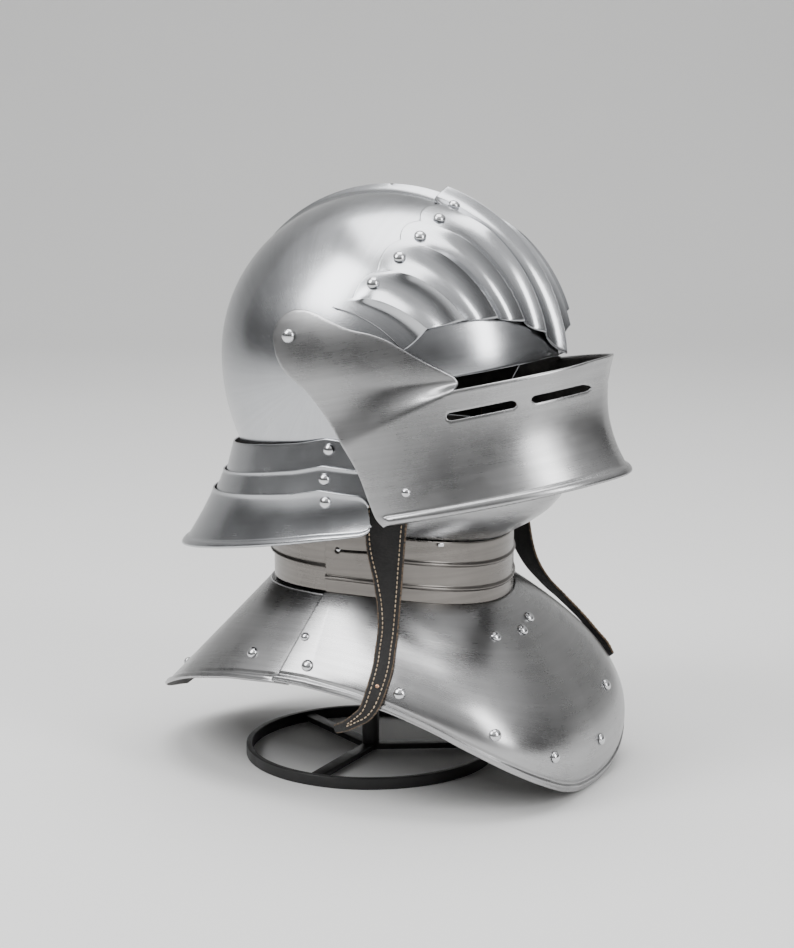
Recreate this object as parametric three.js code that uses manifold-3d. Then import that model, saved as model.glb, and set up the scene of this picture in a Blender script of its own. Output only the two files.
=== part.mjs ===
// A sallet helmet with a pivoted visor, a fluted brow plate and a laminated tail, together with its
// bevor (chin plate), collar and gorget, shown on a plain ring stand with a central post.
// Millimetres. Z is up, the helmet faces -Y, and the wearer's right side is -X.
import * as THREE from 'three';
import { mergeVertices } from 'three/addons/utils/BufferGeometryUtils.js';
import Module from 'manifold-3d';

const wasm = await Module();
wasm.setup();

// Driving dimensions
const wall = 1.5; // thickness of the large plates
const lameWall = 1.2; // thickness of the tail lames and collar lames
const plateGap = 0.6; // space between a plate and the one under it
const seat = 0.35; // space under a rivet head
const leather = 2.4; // thickness of the straps

const skull = {
  halfWidth: 102, // at the widest level
  front: 121, // from the vertical axis to the brow
  back: 121.5, // from the vertical axis to the back
  crown: 112, // from the widest level up to the crown
  lower: 133, // vertical half axis of the part below the widest level
  level: 284, // height of the widest level
  combHeight: 5,
  combHalfWidth: 9,
};
const brow = {
  gap: 1.1, // from the skull up to the plate
  creaseHeight: 4.4,
  keelRear: 7.4,
  keelFront: 6,
  lobe: 2.6,
  rivetPlaces: [0.44, 0.41, 0.3, 0.3, 0.42], // across each panel, from the side to the keel
  rivetRows: [0.146, 0.15, 0.14, 0.12, 0.105], // from the rear end towards the front end of each panel
  rivetLift: 0.9,
};
const visor = {
  pitch: 12, // degrees that the visor's own horizontal is raised at the front
  spread: 6, // half width beyond the skull's
  prowWaist: 162, // from the pivot forward to the hollow of the prow
  prowFlare: 10.2, // how far the top and bottom of the prow reach beyond its hollow
  prowLean: 1.4, // how much further the top reaches than the middle of the two
  top: -52.6, // the sight edge, measured up from the pivot
  bottom: -131, // the lower edge
  slotHeight: 6.3,
  slotDrop: 16.2, // from the sight edge down to the middle of the slots
  rollHeight: 6,
  rollOut: 2,
  hug: 5.2, // outer face of the arms beyond the skull
};
const pivot = {
  back: 22, // behind the vertical axis
  rise: 23.7, // above the skull's widest level
  headRadius: 4.6,
  headHeight: 3,
  innerHead: 2,
  shankRadius: 2.5,
  clearance: 0.45,
};
const pivotHeight = skull.level + pivot.rise;
const tail = { peak: 1.6, peakWidth: 22, hemRoll: 1.4, cornerCut: 0.2 };
const collar = { radius: 84, frontTop: 165, sideTop: 176, frontBottom: 123.5, sideBottom: 135.5, rib: 1.2 };
const gorget = {
  neckDrop: 8, // how far its neck stands up inside the collar
  bead: 1.3,
  border: 7,
  front: 152, // reach of the rim in front
  side: 125, // at the shoulders
  back: 171,
  frontRim: 2.5, // height of the rim in front
  sideRim: 82.5,
  backRim: 33,
  square: 3.3, // how square the plan of the breast is, where 2 is an ellipse
  bulge: 10, // extra fullness of the breast
};
const strap = {
  width: 29,
  cheek: 0.82, // how far out it hangs inside the cheek, as a share of the skull's half width
  inset: 0.36, // the same beside the collar, from its outer face inwards
};
const stand = {
  radius: 88,
  barWidth: 4,
  barHeight: 8,
  setBack: 17.5, // from the helmet's vertical axis back to the post
  postRadius: 6,
  spokeWidth: 9,
  capRadius: 44,
  capDepth: 6,
  yokeWidth: 14,
  yokeHeight: 4,
  yokeAngle: 100, // degrees round from the front at which its ends meet the gorget
  yokeDrop: 2,
  rest: 0.3, // space left between the stand and what it carries
};
const rivet = { radius: 4, height: 2.6, small: 3, tiny: 2, sides: 8 };

// Materials
const steel = new THREE.MeshStandardMaterial({ color: 0xb9bcc0, roughness: 0.28, metalness: 1 });
const darkSteel = new THREE.MeshStandardMaterial({ color: 0x8e9196, roughness: 0.35, metalness: 1 });
const blackLeather = new THREE.MeshStandardMaterial({ color: 0x1c1a19, roughness: 0.7, metalness: 0 });
const blackPaint = new THREE.MeshStandardMaterial({ color: 0x0d0d0e, roughness: 0.5, metalness: 0.2 });

const rad = THREE.MathUtils.degToRad;
const lerp = THREE.MathUtils.lerp;
const clamp = THREE.MathUtils.clamp;
const assembly = new THREE.Group();

function steps(from, to, count) {
  return Array.from({ length: count + 1 }, (_, i) => from + ((to - from) * i) / count);
}

function ease(from, to, x) {
  const t = clamp((x - from) / (to - from), 0, 1);
  return t * t * (3 - 2 * t);
}

// Closed geometry from points and triangles: shared points are merged, collapsed triangles are left
// out, and the faces are turned outwards.
function closedGeometry(points, triangles) {
  const key = (p) => `${Math.round(p.x * 1e4)},${Math.round(p.y * 1e4)},${Math.round(p.z * 1e4)}`;
  const seen = new Map();
  const unique = [];
  const index = points.map((p) => {
    const k = key(p);
    if (!seen.has(k)) {
      seen.set(k, unique.length);
      unique.push(p);
    }
    return seen.get(k);
  });
  let faces = triangles.map((t) => t.map((i) => index[i]));
  faces = faces.filter(([a, b, c]) => a !== b && b !== c && c !== a);
  let volume = 0;
  for (const [a, b, c] of faces) volume += unique[a].dot(unique[b].clone().cross(unique[c]));
  if (volume < 0) faces = faces.map(([a, b, c]) => [a, c, b]);
  const geometry = new THREE.BufferGeometry();
  const numbers = unique.flatMap((p) => p.toArray());
  geometry.setAttribute('position', new THREE.Float32BufferAttribute(numbers, 3));
  geometry.setIndex(faces.flat());
  return geometry;
}

// A profile of [radius, height] points turned about its own upright axis
function turned(profile, sides) {
  const lathe = new THREE.LatheGeometry(profile.map(([r, h]) => new THREE.Vector2(r, h)), sides);
  const places = lathe.attributes.position;
  const points = [];
  for (let i = 0; i < places.count; i++) points.push(new THREE.Vector3().fromBufferAttribute(places, i));
  const corners = Array.from(lathe.index.array);
  const triangles = [];
  for (let i = 0; i < corners.length; i += 3) triangles.push(corners.slice(i, i + 3));
  return closedGeometry(points, triangles);
}

// A sheet of metal or leather: an outer and an inner surface of two parameters, joined at the rims
function sheet(outer, inner, us, vs) {
  const points = [];
  for (const surface of [outer, inner]) {
    for (const u of us) for (const v of vs) points.push(surface(u, v));
  }
  const rows = vs.length;
  const layer = us.length * rows;
  const triangles = [];
  const quad = (a, b, c, d) => triangles.push([a, b, c], [a, c, d]);
  for (let i = 0; i + 1 < us.length; i++) {
    for (let j = 0; j + 1 < rows; j++) {
      const a = i * rows + j;
      quad(a, a + rows, a + rows + 1, a + 1);
      quad(layer + a, layer + a + 1, layer + a + rows + 1, layer + a + rows);
    }
    const low = i * rows;
    const high = low + rows - 1;
    quad(low, layer + low, layer + low + rows, low + rows);
    quad(high, high + rows, layer + high + rows, layer + high);
  }
  const last = (us.length - 1) * rows;
  for (let j = 0; j + 1 < rows; j++) {
    quad(j, j + 1, layer + j + 1, layer + j);
    quad(last + j, layer + last + j, layer + last + j + 1, last + j + 1);
  }
  return closedGeometry(points, triangles);
}

// Direction square to a surface of two parameters, away from the upright axis
function outward(surface, u, v) {
  const step = 1e-3;
  const alongU = surface(u + step, v).sub(surface(u - step, v));
  const alongV = surface(u, v + step).sub(surface(u, v - step));
  const normal = alongU.cross(alongV).normalize();
  const at = surface(u, v);
  return normal.x * at.x + normal.y * at.y < 0 ? normal.negate() : normal;
}

// The same sheet with its inner surface a given distance inside the outer one
function plate(outer, thickness, us, vs) {
  const inner = (u, v) => outer(u, v).addScaledVector(outward(outer, u, v), -thickness);
  return sheet(outer, inner, us, vs);
}

function toSolid(geometry) {
  const bare = geometry.clone();
  for (const name of Object.keys(bare.attributes)) if (name !== 'position') bare.deleteAttribute(name);
  const merged = mergeVertices(bare, 1e-4);
  return new wasm.Manifold(
    new wasm.Mesh({
      numProp: 3,
      vertProperties: Float32Array.from(merged.attributes.position.array),
      triVerts: Uint32Array.from(merged.index.array),
    })
  );
}

function toGeometry(solid) {
  const mesh = solid.getMesh();
  const geometry = new THREE.BufferGeometry();
  const numbers = Array.from(mesh.vertProperties);
  geometry.setAttribute('position', new THREE.Float32BufferAttribute(numbers, 3));
  geometry.setIndex(Array.from(mesh.triVerts));
  return geometry;
}

function add(name, geometry, material) {
  const mesh = new THREE.Mesh(geometry, material);
  mesh.name = name;
  assembly.add(mesh);
  return mesh;
}

// A side view outline of [y, z] points, carried across the helmet from one side to the other
function acrossHelmet(outline, reach = 160) {
  const shape = new THREE.Shape(outline.map(([y, z]) => new THREE.Vector2(y, z)));
  const geometry = new THREE.ExtrudeGeometry(shape, { depth: 2 * reach, bevelEnabled: false });
  geometry.applyMatrix4(new THREE.Matrix4().set(0, 0, 1, -reach, 1, 0, 0, 0, 0, 1, 0, 0, 0, 0, 0, 1));
  return geometry;
}

// The skull is two half ellipsoids with a pinched comb. `across` is the angle out of the middle plane
// and `along` the angle from the crown forwards, both in radians.
function skullPoint(across, along, offset, comb = 1) {
  const s = skull;
  const reach = along > 0 && along < Math.PI ? s.front : s.back;
  const rise = Math.cos(along) > 0 ? s.crown : s.lower;
  const half = s.combHalfWidth / s.halfWidth;
  const foreFade = 1 - 0.6 * ease(rad(60), rad(95), along) - 0.4 * ease(rad(95), rad(125), along);
  const fade = ease(rad(-115), rad(-50), along) * foreFade;
  const pinch = Math.max(0, 1 - Math.abs(across) / half) ** 2;
  const d = offset + comb * s.combHeight * fade * pinch;
  return new THREE.Vector3(
    (s.halfWidth + offset) * Math.sin(across),
    -(reach + d) * Math.cos(across) * Math.sin(along),
    s.level + (rise + d) * Math.cos(across) * Math.cos(along)
  );
}

// Half width of the skull at a place in the side view
function skullHalfWidth(y, z, offset) {
  const reach = (y < 0 ? skull.front : skull.back) + offset;
  const rise = (z > skull.level ? skull.crown : skull.lower) + offset;
  const rest = 1 - (y / reach) ** 2 - ((z - skull.level) / rise) ** 2;
  return (skull.halfWidth + offset) * Math.sqrt(Math.max(rest, 0.02));
}

function skullBody(offset, comb = 1) {
  const half = (skull.combHalfWidth / skull.halfWidth) * (180 / Math.PI);
  const side = [half, 16, 31, 46, 61, 76, 90];
  const across = [...side.map((a) => -a).reverse(), -half / 2, 0, half / 2, ...side].map(rad);
  const along = steps(-180, 180, 32).map(rad);
  const points = [];
  for (const a of along) for (const b of across) points.push(skullPoint(b, a, offset, comb));
  const triangles = [];
  const columns = across.length;
  for (let i = 0; i + 1 < along.length; i++) {
    for (let j = 0; j + 1 < columns; j++) {
      const a = i * columns + j;
      triangles.push([a, a + 1, a + columns + 1], [a, a + columns + 1, a + columns]);
    }
  }
  return toSolid(closedGeometry(points, triangles));
}

// Lower edge of the skull in the side view, as [y, z] shares of its front or back reach and its
// height below the widest level: the brow, the cheek and the nape
function skullEdge() {
  const rows = [
    [-1.15, 0.095],
    [-0.64, -0.005],
    [-0.5, -0.05],
    [-0.42, -0.17],
    [-0.38, -0.34],
    [-0.33, -0.41],
    [0, -0.41],
    [1.1, -0.54],
  ];
  return rows.map(([y, z]) => [
    y * (y < 0 ? skull.front : skull.back),
    skull.level + z * (z > 0 ? skull.crown : skull.lower),
  ]);
}

function roundBar(radius, length, sides = 12) {
  const bar = new THREE.CylinderGeometry(radius, radius, length, sides);
  return bar.rotateZ(Math.PI / 2);
}

function pivotHoles() {
  const radius = pivot.shankRadius + pivot.clearance;
  return toSolid(roundBar(radius, 2 * skull.halfWidth + 60).translate(0, pivot.back, pivotHeight));
}

function makeSkull() {
  const edge = skullEdge();
  const below = [...edge, [edge.at(-1)[0], 90], [edge[0][0], 90]];
  const body = skullBody(0).subtract(skullBody(-wall)).subtract(toSolid(acrossHelmet(below)));
  add('skull', toGeometry(body.subtract(pivotHoles())), steel);
}

// Brow plate: one row for each line that runs along it, from the side edge over five sharp creases to
// the middle keel. Sideways places are shares of the skull's half width at the rear end, the middle
// and the front end of the line, and the angles are degrees forward of the crown at its two ends.
const browLines = [
  { rear: 0.925, middle: 0.915, front: 0.885, from: 8, to: 71 },
  { rear: 0.888, middle: 0.852, front: 0.8, from: 20, to: 63.5 },
  { rear: 0.775, middle: 0.71, front: 0.654, from: 23.2, to: 65.7 },
  { rear: 0.598, middle: 0.54, front: 0.499, from: 22.6, to: 68.7 },
  { rear: 0.417, middle: 0.37, front: 0.34, from: 22.6, to: 72.2 },
  { rear: 0.165, middle: 0.17, front: 0.185, from: 21.6, to: 77.4 },
  { rear: 0, middle: 0, front: 0, from: 18.5, to: 85.5 },
];

function browPoint(u, v, offset) {
  const place = (browLines.length - 1) * (1 - Math.min(Math.abs(u), 1));
  const i = Math.min(Math.floor(place), browLines.length - 2);
  const t = place - i;
  const [a, b] = [browLines[i], browLines[i + 1]];
  const share = (line) =>
    line.rear * (1 - v) * (1 - 2 * v) + 4 * line.middle * v * (1 - v) + line.front * v * (2 * v - 1);
  const across = lerp(share(a), share(b), t);
  const lobe = brow.lobe * (1 - (2 * t - 1) ** 2) * (i > 0 ? 1 : 0);
  const angle = lerp(lerp(a.from, b.from, t) - lobe, lerp(a.to, b.to, t), v);
  const grown = ease(0, 0.4, v);
  const crease = (line) => {
    if (line === browLines[0]) return 0;
    if (line === browLines.at(-1)) return lerp(brow.keelRear, brow.keelFront, v);
    return brow.creaseHeight * grown;
  };
  const rise = (2 * t - 1) ** 2 * crease(t < 0.5 ? a : b);
  return skullPoint(Math.sign(u) * Math.asin(across), rad(angle), offset + rise, 0);
}

const browShelf = brow.gap + wall;

function makeBrowPlate() {
  const half = [];
  const panels = browLines.length - 1;
  for (let i = 0; i < panels; i++) half.push(i / panels, (i + 0.3) / panels, (i + 0.7) / panels);
  const us = [...half.map((h) => h - 1), 0, ...half.map((h) => 1 - h).reverse()];
  const vs = [0, 0.16, 0.35, 0.56, 0.78, 1];
  const outer = (u, v) => browPoint(u, v, browShelf);
  const inner = (u, v) => browPoint(u, v, brow.gap);
  add('brow_plate', sheet(outer, inner, us, vs), steel);
}

// The visor has its own side view frame at the pivot, pitched up at the front: `f` runs forward and
// `n` runs up in it.
const visorForward = [-Math.cos(rad(visor.pitch)), Math.sin(rad(visor.pitch))];
const visorUp = [Math.sin(rad(visor.pitch)), Math.cos(rad(visor.pitch))];

function visorToSide(f, n) {
  return [
    pivot.back + f * visorForward[0] + n * visorUp[0],
    pivotHeight + f * visorForward[1] + n * visorUp[1],
  ];
}

function prowReach(n) {
  const middle = (visor.top + visor.bottom) / 2;
  const half = (visor.top - visor.bottom) / 2;
  const t = clamp((n - middle) / half, -1.05, 1.1);
  return visor.prowWaist + visor.prowFlare * t * t + visor.prowLean * t;
}

// Half width of the visor: the prow's pointed plan low down, and the skull's form on the arms
function visorHalfWidth(f, n, inset) {
  const [y, z] = visorToSide(f, n);
  const start = 20;
  const q = clamp((f - start) / (prowReach(n) - inset * 1.4 - start), 0, 1);
  const beak = (skull.halfWidth + visor.spread - inset) * (1 - q * q) ** 0.6;
  const arm = skullHalfWidth(y, z, visor.hug - inset);
  const behind = Math.max(0, 100 - f);
  const crease = visor.top - 0.5 - 0.33 * behind;
  return lerp(beak, arm, ease(crease, crease + 5 + 0.5 * behind, n));
}

function visorPoint(u, n, inset) {
  const rear = -20;
  const front = prowReach(n) - inset * 1.4;
  const share = Math.min(1, 1 - Math.abs(u));
  const f = lerp(rear, front, share);
  const inRoll = clamp(Math.abs(n - visor.bottom - visor.rollHeight / 2) / (visor.rollHeight / 2), 0, 1);
  const roll = inset === 0 ? visor.rollOut * Math.sqrt(1 - inRoll * inRoll) : 0;
  const x = visorHalfWidth(f, n, inset) + roll * Math.min(1, Math.abs(u) * 8);
  const forward = f + roll * ease(0.6, 1, share);
  const [y, z] = visorToSide(forward, n);
  return new THREE.Vector3(Math.sign(u) * (share >= 1 ? 0 : x), y, z);
}

// Side view outline of the visor in its own frame, from the corner of the sight edge over the arm and
// down to the lower edge. Places forward are shares of the prow's waist, and places up are shares of
// the depth of the lower edge.
const visorArm = [
  [0.612, -0.344],
  [0.58, -0.305],
  [0.519, -0.237],
  [0.45, -0.156],
  [0.408, -0.111],
  [0.352, -0.069],
  [0.257, -0.02],
  [0.19, 0.032],
  [0.135, 0.076],
  [0.08, 0.107],
  [0.031, 0.118],
  [-0.024, 0.102],
  [-0.064, 0.061],
  [-0.083, 0],
  [-0.08, -0.069],
  [-0.058, -0.145],
  [-0.012, -0.214],
  [0.043, -0.286],
  [0.089, -0.382],
  [0.125, -0.473],
  [0.159, -0.573],
  [0.19, -0.664],
  [0.211, -0.748],
  [0.226, -0.847],
  [0.245, -0.954],
  [0.269, -1],
];
const visorCorner = 0.624; // where the sight edge ends at the arm, as a share of the prow's waist
const visorSlots = [
  [0.58, 0.818],
  [0.858, 1.012],
];

function visorOutline() {
  const ahead = 1.25 * visor.prowWaist;
  const arm = visorArm.map(([f, n]) => [f * visor.prowWaist, -n * visor.bottom]);
  const sight = [[ahead, visor.top], [visorCorner * visor.prowWaist, visor.top]];
  return [...sight, ...arm, [ahead, visor.bottom]];
}

function visorSlot(from, to) {
  const radius = visor.slotHeight / 2;
  const middle = visor.top - visor.slotDrop;
  const point = (at, a) => [at + radius * Math.cos(rad(a)), middle + radius * Math.sin(rad(a))];
  const end = (at, first) => steps(first, first + 180, 4).map((a) => point(at, a));
  const ring = [...end(to - radius, -90), ...end(from + radius, 90)];
  return toSolid(acrossHelmet(ring.map(([f, n]) => visorToSide(f, n))));
}

function makeVisor() {
  const share = [0, 0.14, 0.28, 0.42, 0.55, 0.66, 0.75, 0.83, 0.9, 0.95, 0.98];
  const us = [...share.map((s) => s - 1), 0, ...share.map((s) => 1 - s).reverse()];
  const low = visor.bottom;
  const roll = visor.rollHeight;
  const rows = [0.855, 0.75, 0.64, 0.535, 0.43, 0.35, 0.245, 0.12, 0, -0.15];
  const ns = [low - 3, low, low + roll / 2, low + roll, ...rows.map((row) => row * low)];
  const surface = (inset) => (u, n) => visorPoint(u, n, inset);
  const body = toSolid(sheet(surface(0), surface(wall), us, ns));
  const outline = toSolid(acrossHelmet(visorOutline().map(([f, n]) => visorToSide(f, n))));
  let cut = body.intersect(outline).subtract(pivotHoles());
  for (const slot of visorSlots) {
    const [from, to] = slot.map((share) => share * visor.prowWaist);
    cut = cut.subtract(visorSlot(from, to));
  }
  add('visor', toGeometry(cut), steel);
}

// Tail lames from the top one down, each with a ring along its top and one along its bottom. Half
// width at the sides, reach to the back and depth below the widest level are shares of the skull's
// own, `slope` is how much the ring falls for each millimetre further back, and `reach` is how many
// degrees the lame runs round from the back to each side.
const lameRings = [
  {
    top: { width: 0.957, back: 0.933, depth: 0.338, slope: 0.155 },
    bottom: { width: 0.99, back: 0.996, depth: 0.523, slope: 0.168 },
    reach: 110,
    bow: 0,
    corner: 0,
  },
  {
    top: { width: 1.007, back: 0.994, depth: 0.468, slope: 0.168 },
    bottom: { width: 1.033, back: 1.074, depth: 0.639, slope: 0.14 },
    reach: 110,
    bow: 0,
    corner: 0,
  },
  {
    top: { width: 1.049, back: 1.061, depth: 0.585, slope: 0.138 },
    bottom: { width: 1.108, back: 1.284, depth: 0.82, slope: 0.19 },
    reach: 105,
    bow: 1.6,
    corner: 3.4,
  },
];

function lameSurface(index) {
  const { top, bottom, reach, bow, corner } = lameRings[index];
  return (u, v) => {
    const rest = corner ? clamp(1 - (reach - Math.abs(u)) / corner, 0, 1) : 0;
    const cut = tail.cornerCut * (1 - Math.sqrt(1 - rest * rest));
    const place = lerp(cut, 1 - cut, v);
    const mix = (name) => lerp(top[name], bottom[name], place);
    const hem = corner ? tail.hemRoll * clamp(1 - Math.abs(v - 0.95) / 0.05, 0, 1) : 0;
    const out = hem - bow * 4 * place * (1 - place);
    const angle = rad(180 + u);
    const y = -(mix('back') * skull.back + out) * Math.cos(angle);
    const fall = mix('slope') * y * (y > 0 ? 1 : place);
    const peak = tail.peak * (1 - place) * Math.max(0, 1 - Math.abs(y + 2) / tail.peakWidth);
    const z = skull.level - mix('depth') * skull.lower - fall + peak;
    return new THREE.Vector3((mix('width') * skull.halfWidth + out) * Math.sin(angle), y, z);
  };
}

function makeLames() {
  const fromEnd = [0, 0.01, 0.035, 0.1, 0.18, 0.27, 0.37, 0.48, 0.6, 0.72, 0.86];
  lameRings.forEach((ring, i) => {
    const side = fromEnd.map((share) => ring.reach * (1 - share));
    const us = [...side.map((a) => -a), 0, ...side.reverse()];
    const vs = ring.corner ? [0, 0.3, 0.6, 0.9, 0.95, 1] : [0, 0.5, 1];
    add(`tail_lame_${i + 1}`, plate(lameSurface(i), lameWall, us, vs), steel);
  });
}

// Collar and gorget: angles run round from the front of the gorget towards the wearer's left
const seamNeck = 94.7; // degrees round to the joint of front and rear plates, at the neck
const seamRim = 101.6; // the same at the rim
const tuck = 5; // degrees that the rear plates run on under the front ones
const gapLine = 151.5; // height of the joint of the two rear collar lames

function around(radius, angle, z) {
  return new THREE.Vector3(radius * Math.sin(angle), -radius * Math.cos(angle), z);
}

function collarTop(angle) {
  return lerp(collar.frontTop, collar.sideTop, Math.sin(angle) ** 2);
}

function collarBottom(angle) {
  const middle = Math.cos(angle) > 0 ? collar.frontBottom : collar.sideBottom - 4;
  return lerp(middle, collar.sideBottom, Math.sin(angle) ** 2);
}

const collarRibs = [0.24, 0.64]; // heights of the two raised ribs, as shares of the collar's height

// The keyhole at each side of the collar: a round hole for the stud and a long slot in front of it
const keyhole = { angle: seamNeck - 6, height: collar.frontTop - 0.6, radius: 2.6, length: 22, gauge: 2.2 };

function keyholeTools(side) {
  const angle = rad(side * keyhole.angle);
  const through = 12;
  const hole = new THREE.CylinderGeometry(keyhole.radius, keyhole.radius, through, 12);
  const slot = new THREE.BoxGeometry(keyhole.length, through, keyhole.gauge);
  slot.translate((-side * keyhole.length) / 2, 0, 0);
  const middle = around(collar.radius, angle, keyhole.height);
  return [hole, slot].map((part) => toSolid(part.rotateZ(angle).translate(...middle.toArray())));
}

function makeCollar() {
  const half = 0.04;
  const rib = (v) => (Math.min(...collarRibs.map((r) => Math.abs(v - r))) < half / 2 ? collar.rib : 0);
  const level = (a, v) => lerp(collarBottom(a), collarTop(a), v);
  const front = (a, v) => around(collar.radius + rib(v), a, level(a, v));
  const frontIn = (a, v) => around(collar.radius - wall, a, level(a, v));
  const vs = [0, ...collarRibs.flatMap((r) => [r - half, r, r + half]), 1];
  const whole = toSolid(sheet(front, frontIn, steps(-seamNeck, seamNeck, 18).map(rad), vs));
  const cut = [...keyholeTools(1), ...keyholeTools(-1)].reduce((solid, tool) => solid.subtract(tool), whole);
  add('front_collar', toGeometry(cut), steel);

  // The lower lame stands higher at its ends, where it carries the studs behind the keyholes
  const lower = collar.radius - wall - plateGap;
  const studTop = keyhole.height + 5;
  const lowerTop = (a) => lerp(studTop, gapLine + 4, ease(rad(96), rad(110), Math.min(a, rad(360) - a)));
  const lowerRing = (r) => (a, v) => around(r, a, lerp(collarBottom(a), lowerTop(a), v));
  const lowerAngles = steps(seamNeck - tuck, 360 - seamNeck + tuck, 24).map(rad);
  const lowerLame = sheet(lowerRing(lower), lowerRing(lower - lameWall), lowerAngles, [0, 1]);
  add('rear_collar_lower', lowerLame, darkSteel);

  const upper = lower + plateGap + lameWall;
  const flare = (v) => clamp(1 - v / 0.1, 0, 1);
  const upperRing = (r) => (a, v) => around(r + flare(v), a, lerp(gapLine, collarTop(a), v));
  const upperAngles = steps(seamNeck + 0.5, 359.5 - seamNeck, 20).map(rad);
  const upperLame = sheet(upperRing(upper), upperRing(upper - lameWall), upperAngles, [0, 0.1, 1]);
  add('rear_collar_upper', upperLame, steel);
}

// Rim of the gorget by the angle from its front. `fall` goes from 0 at the shoulder to 1 at the lowest
// point of the front or back, and `round` is how convex the plate is between neck and rim.
const gorgetRim = [
  { angle: 0, fall: 1, round: 0.6 },
  { angle: 8, fall: 0.98, round: 0.6 },
  { angle: 16, fall: 0.92, round: 0.58 },
  { angle: 26, fall: 0.775, round: 0.54 },
  { angle: 35, fall: 0.61, round: 0.48 },
  { angle: 44, fall: 0.43, round: 0.4 },
  { angle: 54, fall: 0.25, round: 0.33 },
  { angle: 65, fall: 0.125, round: 0.27 },
  { angle: 78, fall: 0.045, round: 0.2 },
  { angle: 98, fall: 0, round: 0.12 },
  { angle: 116, fall: 0.05, round: 0.05 },
  { angle: 130, fall: 0.17, round: 0.02 },
  { angle: 140, fall: 0.3, round: 0 },
  { angle: 155, fall: 0.58, round: 0 },
  { angle: 170, fall: 0.87, round: 0 },
  { angle: 180, fall: 1, round: 0 },
];

function rimValue(degrees, column) {
  const turned = Math.abs(((degrees + 180) % 360) - 180);
  const last = gorgetRim.length - 1;
  const i = clamp(gorgetRim.findIndex((row) => row.angle > turned) - 1, 0, last - 1);
  if (turned >= 180) return gorgetRim[last][column];
  const t = (turned - gorgetRim[i].angle) / (gorgetRim[i + 1].angle - gorgetRim[i].angle);
  return lerp(gorgetRim[i][column], gorgetRim[i + 1][column], t);
}

// `v` runs from -1 at the top of the neck, to 0 where the plate turns outwards, to 1 at the rim
function gorgetPoint(degrees, v, inset) {
  const angle = rad(degrees);
  const isFront = Math.cos(angle) > 0;
  const neck = collar.radius - wall - plateGap - lameWall - plateGap;
  const turnOut = collarBottom(angle) - plateGap;
  const flange = collar.radius + 1 - neck;
  if (v < 0) return around(neck - inset, angle, turnOut - v * gorget.neckDrop - inset * 0.6);
  const square = isFront ? gorget.square : 2;
  const ahead = Math.abs(Math.cos(angle)) / (isFront ? gorget.front : gorget.back);
  const aside = Math.abs(Math.sin(angle)) / gorget.side;
  const reach = (ahead ** square + aside ** square) ** (-1 / square) - neck - flange;
  const low = lerp(gorget.sideRim, isFront ? gorget.frontRim : gorget.backRim, rimValue(degrees, 'fall'));
  const drop = turnOut - low;
  if (v < 0.05) {
    return around(neck + (flange * v) / 0.05 - inset * (1 - v / 0.05), angle, turnOut - inset * 0.8);
  }
  const borderShare = gorget.border / Math.hypot(reach, drop);
  const along = v < 0.8 ? ((v - 0.05) / 0.75) * (1 - borderShare) : 1 - (borderShare * (1 - v)) / 0.2;
  const round = rimValue(degrees, 'round');
  const out = lerp(along, Math.sin((along * Math.PI) / 2), round);
  const down = lerp(along, 1 - Math.cos((along * Math.PI) / 2), round);
  const bulge = gorget.bulge * Math.max(0, Math.cos(angle)) * 9.5 * along ** 3 * (1 - along);
  const tilt = Math.atan2(reach * (1 - round * along), drop * (0.4 + along * round));
  return around(
    neck + flange + reach * out + bulge - inset * Math.cos(tilt),
    angle,
    turnOut - drop * down - inset * Math.sin(tilt)
  );
}

// Raised bead along the rim, with a sunk line inside it
function rimRelief(v) {
  const table = [[0, 0], [0.8, 0], [0.86, -0.6], [0.95, 1], [1, 0.7], [2, 0.7]];
  if (v < 0) return 0;
  const i = table.findIndex(([at]) => at > v) - 1;
  const [from, to] = [table[i], table[i + 1]];
  return gorget.bead * lerp(from[1], to[1], (v - from[0]) / (to[0] - from[0]));
}

function gorgetPlate(from, to, deeper, tucked) {
  const seam = (v) => lerp(seamNeck, seamRim, clamp(v, 0, 1));
  const angle = (u, v) => lerp(from(seam(v)), to(seam(v)), u);
  const shown = (u) => (tucked ? ease(tucked, 2 * tucked, Math.min(u, 1 - u)) : 1);
  const outer = (u, v) => gorgetPoint(angle(u, v), v, deeper - shown(u) * rimRelief(v));
  const inner = (u, v) => gorgetPoint(angle(u, v), v, deeper + wall);
  return { outer, inner };
}

const underFront = tuck / (360 - 2 * seamNeck); // share of the rear plate that lies under the front one
const frontGorget = gorgetPlate((seam) => -seam, (seam) => seam, 0, 0);
const rearFrom = (seam) => seam - tuck;
const rearGorget = gorgetPlate(rearFrom, (seam) => 360 - rearFrom(seam), wall + plateGap, underFront);

function makeGorget() {
  const vs = [-1, 0, 0.05, 0.22, 0.4, 0.57, 0.71, 0.8, 0.86, 0.95, 1];
  add('gorget_front', sheet(frontGorget.outer, frontGorget.inner, steps(0, 1, 25), vs), steel);
  const rearRows = [-1, 0, 0.05, 0.4, 0.8, 0.86, 0.95, 1];
  const rearAngles = [0, underFront, ...steps(2 * underFront, 1 - 2 * underFront, 20), 1 - underFront, 1];
  add('gorget_rear', sheet(rearGorget.outer, rearGorget.inner, rearAngles, rearRows), steel);
}

// Chin plate: how far it stands out in front and at the sides, by the share of its height above the
// collar. Both are shares of the way from the neck to its full reach.
const chinSections = [
  { height: 0, front: 0, side: 0 },
  { height: 0.07, front: 0.17, side: 0.15 },
  { height: 0.2, front: 0.46, side: 0.4 },
  { height: 0.36, front: 0.73, side: 0.7 },
  { height: 0.54, front: 0.91, side: 0.9 },
  { height: 0.76, front: 1, side: 1 },
  { height: 1, front: 1, side: 1 },
];
// `side` is its half width at the top as a share of the skull's
const chin = { front: 127.5, side: 0.838, top: 225, endAngle: 84, neckDrop: 7 };

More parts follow.
